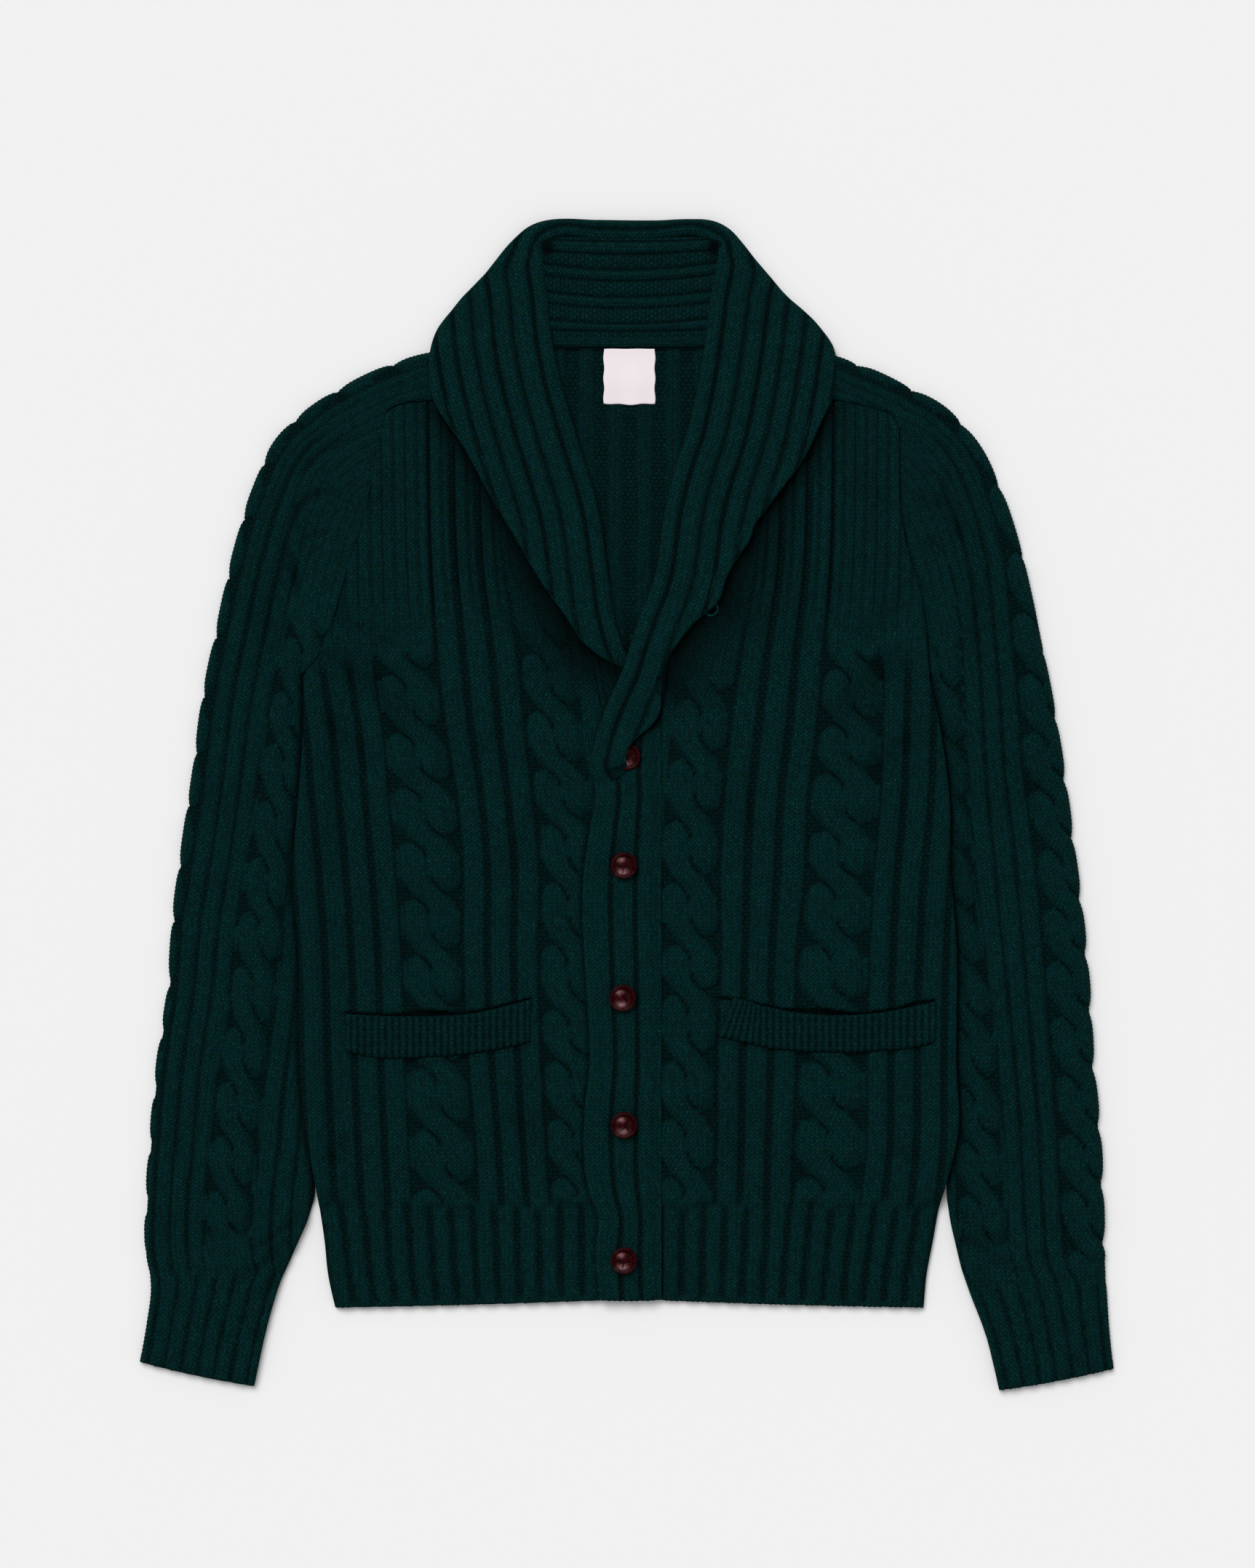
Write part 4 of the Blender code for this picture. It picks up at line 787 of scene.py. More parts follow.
def backPanel():
    rows = np.unique(np.append(np.arange(-367.0, 337.0, 4.0), (334.5, 336.0, 338.0, 339.4)))
    share = np.linspace(-1, 1, 193)
    right, left = (
        np.where(rows < ys[0], outerEdge(side, rows), np.interp(rows, ys, xs))
        for side, (ys, xs) in body["backShoulder"].items())
    x = np.where(share < 0, share * right[:, None], share * left[:, None])
    y = np.broadcast_to(rows[:, None], x.shape)
    lift = np.where(x < 0, bodyLift("right", x, y), bodyLift("left", x, y))
    # the wrong side of the ribs: plain columns between sunken purl ones
    raised = 1 - smooth((toNearest(x, 21.5, -7.3) - 4.4) / 1.8)
    relief = 1.7 * raised + 0.25 * slack(x, y)
    shown = inside(x, y, ((-56, 340), (-8, 100), (14, 100), (60, 340)))
    onLabel = smooth((x - label["left"] + 5) / 4) * smooth((label["right"] + 5 - x) / 4)
    onLabel *= smooth((y - 290) / 4)
    relief = lerp(-0.3, relief * (1 - onLabel), shown) * smooth((338 - y) / 3)
    top = lift + knit["wall"] + relief
    # it lies in the collar's shade, darkest beside the seam
    # painted shade: more in the sunken purl columns, and towards the foot of the V
    paintedShade = 0.15 + 0.8 * smooth((y - 334.6) / 2.5) + 0.3 * (1 - raised)
    paintedShade += 0.35 * smooth((150 - y) / 50) * shown
    uvs = cellUvs(x / knit["wale"], y / knit["course"])
    fields = {"purl": 1 - raised * shown, "paintedShade": np.clip(paintedShade, 0, 1)}
    return clothSheet("back_knit", x, y, lift, top, uvs, fields, insideWool)


edgeRuns = {}      # where each cast-on edge runs, kept for its row of chain stitches
fronts = {side: frontPanel(side) for side in sides}
backPiece = backPanel()
print("body panels made")


# The fold of each sleeve, from its cuff over the shoulder to the neck end of its strap. edge is how far in
# from the fold the first rib starts, and inner how far in the second cable starts.
sleeves = {
    "right": {
        "fold": ((-360, -414), (-355, -385), (-352, -360), (-356, -330), (-355, -289), (-352, -246),
                 (-347, -192), (-339, -138), (-335, -84), (-328, -30), (-320, 24), (-313, 78), (-302, 132),
                 (-290, 186), (-276, 232), (-258, 270), (-236, 291), (-206, 310), (-176, 324),
                 (-146, 333), (-118, 336)),
        "wales": {"columns": ("s", "edge", "inner"), "rows": (
            (0, 2, 37), (30, 4, 40), (54, 6, 42), (84, 1, 44), (125, 2, 44), (168, 3, 46), (222, 3, 46),
            (277, 5, 46), (331, 7, 48), (385, 9, 50), (440, 9, 49), (494, 8, 50), (600, 8, 49),
            (700, 8, 50), (750, 8, 48), (860, 8, 34))},
        "inner": ((-230, -291), (-236, -311), (-248, -338), (-256, -355), (-263, -378), (-268, -398),
                  (-275, -432)),
        "crease": ((94, 238.5), (132, 239), (154, 242), (175, 247), (194, 248)),
        "cableFrom": 88.0, "cableTo": 572.0,
        "arcs": (9, -33, -75, -117, -159, -201, -243, -285, -327),
        "foldArcs": (323, 302, 279.6, 246, 204, 161, 117, 73, 29.4, -8.4, -54.3, -92, -138, -173, -216, -257),
        "creases": ((-232, -296, -283, -335, 3, 3.4, 2.0), (-240, -313, -300, -362, 4, 4.0, 2.3),
                    (-249, -330, -276, -372, 3, 4.0, 1.8), (-262, -300, -296, -318, -3, 6, 1.0),
                    (-195, 271.5, -247, 236, -5.7, 3.4, 1.7), (-210, 232, -249, 207, -7, 3.6, 1.9),
                    (-214, 202, -245, 189, -2.7, 2.8, 1.3), (-222, 190, -238, 178, -2, 2.2, 0.9),
                    (-251, 192, -243, 150, 2, 3.2, 2.6), (-258, 96, -268, 168, 4, 8, 1.1),
                    (-352, -300, -330, -322, 3, 9, 1.0), (-340, 10, -270, -20, 8, 16, 0.9)),
    },
    "left": {
        "fold": ((362, -419), (359, -390), (357, -360), (355, -330), (354, -289), (352, -246), (347, -192),
                 (344, -138), (339, -84), (332, -30), (325, 24), (316, 78), (305, 132), (293, 186),
                 (278, 232), (262, 265), (238, 292), (208, 309), (178, 323), (150, 332), (122, 335)),
        "wales": {"columns": ("s", "edge", "inner"), "rows": (
            (0, 2, 37), (40, 6, 42), (72, 26, 66), (110, 31, 72), (150, 32, 73), (228, 31, 72),
            (282, 32, 75), (337, 31, 77), (391, 29, 75), (446, 30, 72), (500, 25, 66), (555, 19, 58),
            (610, 13, 54), (660, 10, 52), (740, 8, 48), (860, 8, 34))},
        "inner": ((238, -291), (241, -311), (249, -345), (256, -365), (264, -385), (269, -400),
                  (277, -435)),
        "crease": ((94, 225), (137, 224.5), (164, 224), (186, 224), (194, 224)),
        "cableFrom": 92.0, "cableTo": 560.0,
        "arcs": (9.4, -30, -74, -118, -160, -203, -245, -288, -330),
        "foldArcs": (306, 281, 236, 186, 142, 98, 55, 11.8, -32.4, -76.4, -116, -158, -201, -244, -287),
        "creases": ((238, -292, 286, -330, -3, 3.8, 2.0), (246, -312, 300, -352, -4, 4.2, 1.9),
                    (256, -336, 282, -372, -3, 4, 1.4), (235, 252, 254, 186, -4, 5.5, 1.9),
                    (214, 226, 240, 212, 4, 5.5, 1.3), (216, 196, 240, 178, 4, 6, 1.5),
                    (204, 216, 209, 190, 1, 3, 1.0), (246, 90, 262, 166, -5, 9, 1.0),
                    (340, -306, 318, -326, -3, 9, 0.9), (330, 20, 262, -12, -8, 16, 0.9)),
    },
}
sleeve = {
    "cableWidth": 35.0,
    "edgeCable": 40.0,
    "fades": (800.0, 705.0, 640.0, 600.0),    # how far up each trough runs
    "cuff": 66.0,
    "cuffRibs": 7,
    "pitch": 14.6,
    "drawn": 0.35,
    "round": 7.0,             # how far in the fold's curve starts
    "middle": 2.5,            # the height of the fold's outermost line
    "turned": 10.4,           # the cloth's length round the fold's upper quarter
    "mean": 2.4,              # how far the knit stands out there on average
}


def sleevePiece(side):
    sign, it = sides[side], sleeves[side]
    fx, fy, s = smoothLine(it["fold"], 1.5)
    nx, ny = rightOf(fx, fy, 41)
    nx, ny = nx * -sign, ny * -sign
    hidden = [-279, -270, -250, -200, -140, -80, -30, 20, 60, 80]
    tucked = [body["tuck"] * float(smooth((h + 279) / 22) * (1 - smooth((h - 70) / 24))) for h in hidden]
    bodyLine = [(sign * (float(sideOf(side, h)) - t + 0.4), h) for h, t in zip(hidden, tucked)]
    armLine = [(sign * (a + (0.2 if side == "left" else -0.5)), h) for h, a in body["armhole"][side]]
    boundary = list(it["inner"])[::-1] + bodyLine + armLine
    boundary += [(sign * 96, body["shoulder"]), (sign * 96, 345)]
    most = evened(reach(fx, fy, nx, ny, boundary, 140), 7)[:, None]
    s2 = s[:, None]
    edge, inner = (column(it["wales"], name, s)[:, None] for name in ("edge", "inner"))
    ropeParts = []
    for start, width, lowS, highS, wide, arcs in (
            (inner + 0.8, sleeve["cableWidth"] - 1.6, it["cableFrom"], it["cableTo"], 9.0, "arcs"),
            (edge - sleeve["edgeCable"], sleeve["edgeCable"] - 1, sleeve["cuff"] + 12, s[-1] + 40,
             10.0, "foldArcs")):
        ropeParts.append((start, width, lowS, highS, wide, twists(s2, np.interp(it[arcs], fy, s))))

    def surface(depth):
        # the knit at each depth in from the fold; below 0 it is round the fold
        pitch = (inner - np.maximum(edge, 6)) / 3
        place = (depth - np.maximum(edge, 6)) / pitch
        past = (depth - inner - sleeve["cableWidth"]) / sleeve["pitch"]
        # troughs end one after another towards the strap
        ends = np.array(sleeve["fades"])[np.clip(np.round(place), 0, 3).astype(int)]
        upTo = 1 - smooth((s2 - ends) / 36)
        fades = smooth((it["cableTo"] + 10 - s2) / 30)
        relief, purl = np.full(depth.shape, 0.9), np.zeros(depth.shape)
        for there, at, apart, kept in (((place > -0.3) & (depth < inner), place, pitch, upTo),
                                       (past > 0, past, sleeve["pitch"], fades)):
            rise, isPurl = ribRelief(toNearest(at, 1) * apart, 14, "fine")
            relief = np.where(there, lerp(0.9, rise, kept), relief)
            purl = np.where(there, isPurl * kept, purl)
        relief = relief * knit["rib"] * 0.9
        lines = bell(toNearest(depth, 2 * knit["wale"]), 0.95) * smooth((s2 - 560) / 50) * (1 - purl)
        relief = relief - 0.9 * lines
        grooveShade = 0.5 * lines
        ropes = []
        for start, width, lowS, highS, wide, along in ropeParts:
            share = (depth - start) / width
            across = (1 - 2 * share) * sign * 1.08
            # the sunken line where the strands cross, used for painted shade
            rise, seam = ropeRelief(np.clip(across, -1, 1), along, sleeve["drawn"])
            within = isBetween(share, 0, 1)
            on = within * smooth((s2 - lowS) / 10) * smooth((highS - s2) / 14)
            relief = np.where(within, lerp(0.85 * knit["rib"], rise * knit["cable"], on), relief)
            grooveShade = np.where(within, lerp(grooveShade, seam, on), grooveShade)
            purl = np.where(within, on * (1 - smooth(rise / 0.12)), purl)
            across = np.where((s2 > lowS) & (s2 < highS), across, offRope)
            ropes.append((across, np.broadcast_to(along, across.shape), wide))
        # the cuff's ribs
        share = np.clip(depth / most, 0, 1)
        toTrough = toNearest(share * sleeve["cuffRibs"], 1, 0.5) * most / sleeve["cuffRibs"]
        cuff = 1 - smooth((s2 - sleeve["cuff"] + 7) / 12)
        rise, isPurl = ribRelief(toTrough, 12, "fine")
        relief = lerp(relief, rise * knit["rib"] * 0.8, cuff)
        relief *= 1 - 0.35 * bell(s2 - sleeve["cuff"], 4)
        return relief, lerp(purl, isPurl, cuff), grooveShade * (1 - cuff), ropes

    def inFrom(depth):
        # a place at some depth; the first rows are moved onto the cuff's own edge
        x, y = fx[:, None] + nx[:, None] * depth, fy[:, None] + ny[:, None] * depth
        share = np.clip(depth / most, 0, 1)
        cuffIn, cuffOut = it["inner"][-1], it["fold"][0]
        lineX = lerp(cuffOut[0], cuffIn[0], share)
        lineY = lerp(cuffOut[1], cuffIn[1], share) - 1.2 * np.sin(np.pi * share)
        near = 1 - smooth(s2 / 34)
        return x + (lineX - x[:1])[:1] * near, y + (lineY - y[:1])[:1] * near

    def lifted(x, y):
        rows = np.array(it["crease"], float)
        crease = np.interp(y, rows[:, 0], rows[:, 1])
        past = smooth((crease - np.abs(x)) / 6)
        return body["lift"] * past * smooth((y - 92) / 12) * (1 - smooth((y - 98) / 100))

    r, middle = sleeve["round"], sleeve["middle"]
    count = int((most.max() - r) / knit["column"]) + 1
    depth = np.minimum(r + np.arange(count, -1, -1) * knit["column"], most)
    relief, purl, grooveShade, ropes = surface(depth)
    x, y = inFrom(depth)
    tuckedUnder = (y < 96) & (y > -285) & (np.abs(x) < sideUnder(side, y) + 1.9)
    relief = relief * (1 - tuckedUnder * 0.8)
    under = inside(x, y, collarOutline)
    relief = relief * (1 - 0.6 * under)
    rim = np.clip((most - depth) / 3.2, 0, 1)
    # the armhole's seam shows as a line on the left only
    softSeam = lerp(1, 0.1, (side == "right") * smooth((y - 100) / 10) * smooth((288 - y) / 6))
    folds = creases(x, y, it["creases"]) * lerp(1, 1.3, smooth((y - 90) / 30))
    base = twoLayers - 2.9 * roundOff(rim) * softSeam
    base = base + folds + 0.45 * slack(x, y) * rim - 1.5 * (1 - smooth(s2 / 2.4)) + lifted(x, y)
    # the body's side shades what goes in under it
    below = y < body["underarm"]
    beside = np.maximum(np.abs(x) - np.where(below, sideUnder(side, y), 999), 0)
    shade = 0.85 * bell(beside, 4, 1.5) * (y > -290) * below
    # painted shade: along the ropes' crossings and the lines near the strap, in the purl troughs, beside the
    # body's edge where the sleeve goes under it, and in the creases' troughs
    paintedShade = np.clip(np.maximum(0.95 * grooveShade + 0.62 * purl, shade) - 0.12 * np.minimum(folds, 0), 0, 1)
    blocks = [(x, y, base + relief, purl, paintedShade, depth)]
    allRopes = [ropes]
    baseAt = base[:, -1:]
    turned = sleeve["turned"]
    scallop = 0.22 * np.cos(np.pi * np.arange(len(s)))[:, None]     # one for each row of stitches
    for phi in np.radians((15, 30, 45, 60, 75, 90)):
        unrolled = r - turned * phi / (np.pi / 2) + 0 * most
        relief, purl, grooveShade, ropes = surface(unrolled)
        x, y = inFrom(r * (1 - np.sin(phi)) + 0 * most)
        out = (0.55 * (relief - sleeve["mean"]) + scallop) * np.sin(phi)
        x, y = x - nx[:, None] * out, y - ny[:, None] * out
        z = middle + (baseAt - middle + relief) * np.cos(phi)
        blocks.append((x, y, z, purl, np.clip(0.95 * grooveShade + 0.62 * purl, 0, 1), unrolled))
        allRopes.append(ropes)
    for phi in np.radians((25, 55, 90)):
        x, y = inFrom(2.5 * (1 - np.cos(phi)) + 0 * most)
        x, y = x - nx[:, None] * out * (1 - np.sin(phi)), y - ny[:, None] * out * (1 - np.sin(phi))
        blocks.append((x, y, middle * (1 - np.sin(phi)) + 0 * x, 0 * x, 0 * x, -6 - 2 * phi + 0 * x))
    for share in np.linspace(0.1, 1, 10):
        depth = lerp(2.5, most, share)
        x, y = inFrom(depth)
        z = lifted(x, y) + (2.85 if share == 1 else 0) + 0 * x
        blocks.append((x, y, z, 0 * x, 0 * x, -7 - depth))
    x, y, z, purl, paintedShade, across = (np.concatenate([b[i] for b in blocks], 1) for i in range(6))
    u = across / knit["wale"]
    v = np.broadcast_to(s2 / knit["course"], u.shape)
    upperSide = z[0] > middle + 1.2
    edgeRuns["cuff_" + side] = np.stack([x[0], y[0] + 1.0, z[0] - 1.2], -1)[upperSide]
    # the cuff's end turns in, so that its cloth shows its thickness
    insideZ = np.where(z[:1] > middle, np.minimum(z[:1] - 1.2, upper + 0.15), knit["wall"] - 0.1)
    x = np.concatenate([x[4:5], x[:1], x], 0)
    y = np.concatenate([y[4:5], y[:1] + 0.4, y], 0)
    z = np.concatenate([insideZ, lerp(z[:1], insideZ, 0.6), z], 0)
    purl, paintedShade, u = (np.concatenate([a[:1], a[:1], a], 0) for a in (purl, paintedShade, u))
    v = np.concatenate([v[:1] - 2, v[:1] - 1, v], 0)
    points = np.stack([x, y, z], -1)
    wide = points.shape[1]
    full = []
    for k, part in enumerate(ropeParts):
        a, along = (np.concatenate([ropes[k][i] for ropes in allRopes], 1) for i in (0, 1))
        fill = np.full((a.shape[0], wide - a.shape[1]), offRope)
        a, along = np.concatenate([a, fill], 1), np.concatenate([along, fill], 1)
        a, along = np.concatenate([0 * a[:2] + offRope, a], 0), np.concatenate([along[:2], along], 0)
        full.append((a, along, part[4]))
    uvs = withRopes(cellUvs(u, v), full)
    if side == "right":
        points, uvs = points[:, ::-1], uvs.reshape(points.shape[0] - 1, wide - 1, 4, 2)[:, ::-1]
        uvs = uvs[:, :, [1, 0, 3, 2]].reshape(-1, 4, 2)
        purl, paintedShade = purl[:, ::-1], paintedShade[:, ::-1]
    return clothSkin("sleeve_" + side + "_knit", points, uvs, {"purl": purl, "paintedShade": paintedShade}, knitWool)


sleevePieces = {side: sleevePiece(side) for side in sides}
print("sleeves made")


def fallHeight(x, y):
    # the underside of the collar's fall, over what lies under it
    ax = np.abs(x)
    right, left = (np.interp(y, *np.array(collar["standSides"][side]).T) for side in sides)
    stand = np.where(x < 0, right, left)
    low = smooth((ax - stand - 1.5) / 11) * smooth((y - 338) / 14)
    height = lerp(collar["fall"], upper, low)
    overBand = (1 - smooth((y - 112) / 22)) * (x > -40)
    overBand *= smooth((x - column(collar["leftRoll"], "x", y) + 4) / 3)
    height = lerp(height, twoLayers + 2 * knit["gap"] + knit["wall"], overBand)
    near = np.hypot(x - 1.3, y - 34.4) - 10.0
    return height + 6.0 * (1 - smooth(near / 11)) * (y < 90)


collar["leftRoll"] = {"columns": ("y", "x"), "rows": (
    (24, -26), (45, -23), (72, -14), (102, -1), (116, 3.2), (139, 11), (164, 20.5))}


def collarPiece():
    fx, fy, s = smoothLine(collar["roll"], collar["step"])
    nx, ny = rightOf(fx, fy, 15)
    ex, ey, _ = smoothLine(collar["edge"], 4.0)
    widest = np.minimum(collar["widest"], 3 + 1.6 * (s[-1] - s))
    met = reach(fx, fy, nx, ny, list(zip(ex, ey)), collar["widest"])
    most = evened(np.minimum(met, widest), 7)[:, None]
    s2, fxx, fyy = s[:, None], fx[:, None], fy[:, None]
    backShare = smooth((fyy - 396) / 18) * smooth((74 - np.abs(fxx)) / 10)
    # both ends are low: one lies on the band, the other goes in under it
    lowEnd = smooth(s2 / 13) * smooth((s[-1] - s2) / 26)
    closer = lerp(1, collar["troughs"][0] / collar["topTrough"], backShare)

    def inFrom(depth):
        return fxx + nx[:, None] * depth, fyy + ny[:, None] * depth

    def surface(depth):
        x, y = inFrom(depth)
        rise, isPurl = ribRelief(nearest(depth * closer, collar["troughs"]) / closer, 15.4, "narrow")
        calm = lerp(0.35, 1, smooth((y - 30) / 40))
        flared = 2.2 * bell(most - depth, 13) * smooth((320 - y) / 40) * smooth((y - 100) / 40)
        under = lerp(fallHeight(x, y), 5.6, backShare) + flared
        return x, y, under, rise * knit["rib"] * 0.95 * calm, isPurl

    count = int((most.max() - 5) / knit["column"]) + 1
    depth = np.minimum(5 + np.arange(0, count + 1) * knit["column"], most - 1.2)
    x, y, under, relief, purl = surface(depth)
    top = under + knit["wall"] + relief + 0.5 * slack(x * 1.7, y * 1.7)
    onFold = smooth((y[:, -1:] - 305) / 25)
    top -= onFold * roundOff((most - depth) / 7) * (top - 3.2) * 0.85
    top = lerp(np.minimum(top, lerp(7.4, 10.2, s2 < 100)), top, lowEnd)
    blocks = []
    first = top[:, :1]
    for out in (9.0, 3.0):       # the stand, hidden under the roll
        px, py = inFrom(out)
        blocks.append((px, py, upper + 0.4 + 0 * px, 0 * px, -2 - out + 0 * px))
    for phi in np.radians((0, 30, 60)):
        out = 1.6 * (1 - np.sin(phi + 0.5))
        px, py = inFrom(out)
        z = upper + 0.5 + (first - upper - 0.5) * (1 - np.cos(phi)) * 0.9
        blocks.append((px, py, z, 0 * px, -1.0 + 0 * px))
    for phi in np.radians((6, 24, 45, 66)):
        out = 5 * (1 - np.cos(phi))
        px, py = inFrom(out)
        z = lerp(upper, first, 0.45) + (first - lerp(upper, first, 0.45)) * np.sin(phi)
        blocks.append((px, py, z, 0 * px, out + 0 * px))
    blocks.append((x, y, top, purl, depth))
    last = top[:, -1:]
    bottom = lerp(last - knit["wall"], 0.25 + 0 * last, onFold)
    for back, share in ((0.35, 0.18), (0.0, 0.5), (0.35, 0.85), (1.6, 1.0), (9.0, 1.0)):
        out = most - back
        px, py = inFrom(out)
        blocks.append((px, py, lerp(last, bottom, share), 0 * px, depth[:, -1:] + 1.5 - 0.1 * back))
    x, y, z, purl, u = (np.concatenate([b[i] for b in blocks], 1) for i in range(5))
    points = np.stack([x, y, z], -1)[::-1]
    # shade where the left half goes in under the lapel
    # painted shade in the purl troughs as well
    paintedShade = np.maximum(0.8 * purl, 0.75 * smooth((14 - (s[-1] - s2)) / 8))
    uvs = cellUvs(u / knit["wale"], np.broadcast_to(s2 / knit["course"], u.shape))
    uvs = uvs.reshape(len(s) - 1, -1, 4, 2)[::-1][:, :, [3, 2, 1, 0]].reshape(-1, 4, 2)
    fields = {"purl": purl[::-1] * 0.8, "paintedShade": paintedShade[::-1]}
    return clothSkin("shawl_collar_rib", points, uvs, fields, collarWool)


def collarInside():
    # the inner face is the rib's wrong side: plain ridges between wider purl bands
    rows = np.arange(338.2, 424.3, 1.0)
    across = np.linspace(-1, 1, 91)
    width = np.interp(rows, (338, 366, 396, 416, 424), (96, 88, 76, 68, 64))
    x = across * width[:, None] + 3.0 * smooth((rows[:, None] - 345) / 60)
    y = np.broadcast_to(rows[:, None], x.shape)
    level = y + 4.5 * (1 - (x / 62) ** 2) * smooth((y - 345) / 12) * (1 - 0.6 * smooth((y - 395) / 20))
    toRidge = nearest(level, (355.5, 375.5, 395.5, 413.5))
    relief = 1.5 * smooth((toRidge - 4.2) / 2.6) + 2.0 * bell(toRidge, 3.1, 4)
    relief += 0.3 * slack(x * 1.5, y * 1.5)
    base = upper * smooth((y - 339) / 14) + 3.6 * smooth((y - 372) / 44) - 5.6 * smooth((y - 416.5) / 6)
    top = base + knit["wall"] + relief * smooth((y - 338) / 4) * (1 - smooth((y - 416.5) / 5))
    purl = smooth((toRidge - 3.8) / 0.9)
    # painted shade: dark lines beside the ridges, a little over the purl bands, and dark pools at the two
    # inner corners
    paintedShade = 0.85 * bell(toRidge - 4.1, 0.9) + 0.15 * purl
    for cornerX in (-58, 66):
        paintedShade += 1.2 * bell(x - cornerX, 5) * bell(y - 413, 9)
    uvs = cellUvs(level / knit["wale"], x / knit["course"])
    fields = {"purl": purl, "paintedShade": np.clip(paintedShade, 0, 1)}
    return clothSheet("collar_stand_inside", x, y, base, top, uvs, fields, insideWool)


def collarUnderside():
    rows = np.append(np.arange(353, 430, 3.0), 430.5)
    half = np.interp(rows, *np.array(collar["fallBehind"]).T)
    across = np.linspace(-1, 1, 61)
    x = across * half[:, None]
    y = np.broadcast_to(rows[:, None], x.shape)
    uvs = cellUvs(y / knit["wale"], x / knit["course"])
    low = np.zeros(x.shape)
    return clothSheet("collar_fall_behind", x, y, low, low + 2.5, uvs, {"purl": low, "paintedShade": low}, collarWool)


collarRib = collarPiece()
standInside = collarInside()
fallBehind = collarUnderside()
print("collar made")


def bandOver():
    rows = np.append(np.arange(-367.8, 124, 1.5), 125.0)
    edge = column(band["edge"], "x", rows)[:, None]
    seam = np.interp(rows, (-368, 62, 100, 126), (26.9, 26.9, 30.6, 36.6))[:, None]
    share = np.linspace(0, 1, 49)[None, :]
    x = lerp(edge, seam, share)
    y = np.broadcast_to(rows[:, None], x.shape).copy()
    y -= 0.6 * np.sin(np.pi * share) * (1 - smooth((y + 368) / 20))
    relief, purl = ribRelief(nearest(share, (0.36, 0.67)) * (seam - edge), 16, "narrow")
    relief = relief * knit["rib"] * 0.85
    covered = smooth((y - 8) / 16) * inside(x, y, collarOutline)
    relief *= 1 - covered
    beyond = smooth((x - 16.5) / 8.9) * (1 - smooth((y - 70) / 20))
    base = lerp(twoLayers + knit["gap"], upper, beyond)
    drop = 1.7 * roundOff((x - edge) / 3.2) * (1 - covered)
    drop += 0.3 * bell(seam - x, 1.5) + 1.2 * (1 - smooth((y + 368) / 2.2))
    folds = creases(x, y, ((-30, -88, 24, -96, 2, 9, 0.9), (-30, -188, 22, -196, -2, 11, 0.8),
                           (-28, -288, 20, -282, 3, 9, 1.0), (-26, 0, 20, -14, 2, 8, 0.7),
                           (-20, -20, -4, -70, 3, 5, -0.5)))
    dimple = sum(0.9 * bell(np.hypot(x - bx, y - by) - 10, 3.2)
                 for bx, by in ((-1, -46), (-2, -144), (-1, -238), (-1, -338)))
    top = base + knit["wall"] + relief - drop + (folds + 0.3 * slack(x, y) - dimple) * (1 - covered)
    uvs = cellUvs((x - edge) / knit["wale"], y / knit["course"])
    # painted shade along the collar's edge, and in the purl troughs
    away = distanceTo(x, y, collarShadeLine) + 99 * inside(x, y, collarOutline)
    shade = bell(away, 8, 1.6) * smooth((y - 40) / 40) + 0.7 * bell(away, 4) * smooth((y - 22) / 12)
    fields = {"purl": purl, "paintedShade": np.clip(np.maximum(0.7 * purl, shade), 0, 1)}
    edgeRuns["band"] = np.stack([x[0], y[0] + 1.0, (base + top)[0] / 2], -1)
    return clothSheet("band_over_rib", x, y, base, top, uvs, fields, collarWool)


def bandUnder():
    rows = np.arange(-366.5, 112, 3.0)
    right = np.interp(rows, (-367, 60, 112), (14, 14, 3))
    left = np.interp(rows, (-367, 62, 90, 112), (-15.9, -15.9, -20.9, -25.2))
    x = lerp(left[:, None], right[:, None], np.linspace(0, 1, 31)[None, :])
    y = np.broadcast_to(rows[:, None], x.shape)
    base = np.full(x.shape, upper)
    fromLeft = x - left[:, None]
    shows = smooth((column(band["edge"], "x", y) - x - 0.5) / 2) * smooth((y - 50) / 12)
    rise, purl = ribRelief(nearest(fromLeft, (5.0, 16.5)), 12, "fine")
    # painted shade from the collar's edge, and in the purl troughs, where the band shows
    shade = bell(distanceTo(x, y, collarShadeLine), 24, 1.5)
    fields = {"purl": purl * shows, "paintedShade": np.clip(np.maximum(shade, 0.6 * purl), 0, 1) * shows}
    top = base + knit["wall"] + 0.6 * rise * knit["rib"] * shows
    uvs = cellUvs(fromLeft / knit["wale"], y / knit["course"])
    return clothSheet("band_under_rib", x, y, base, top, uvs, fields, collarWool)


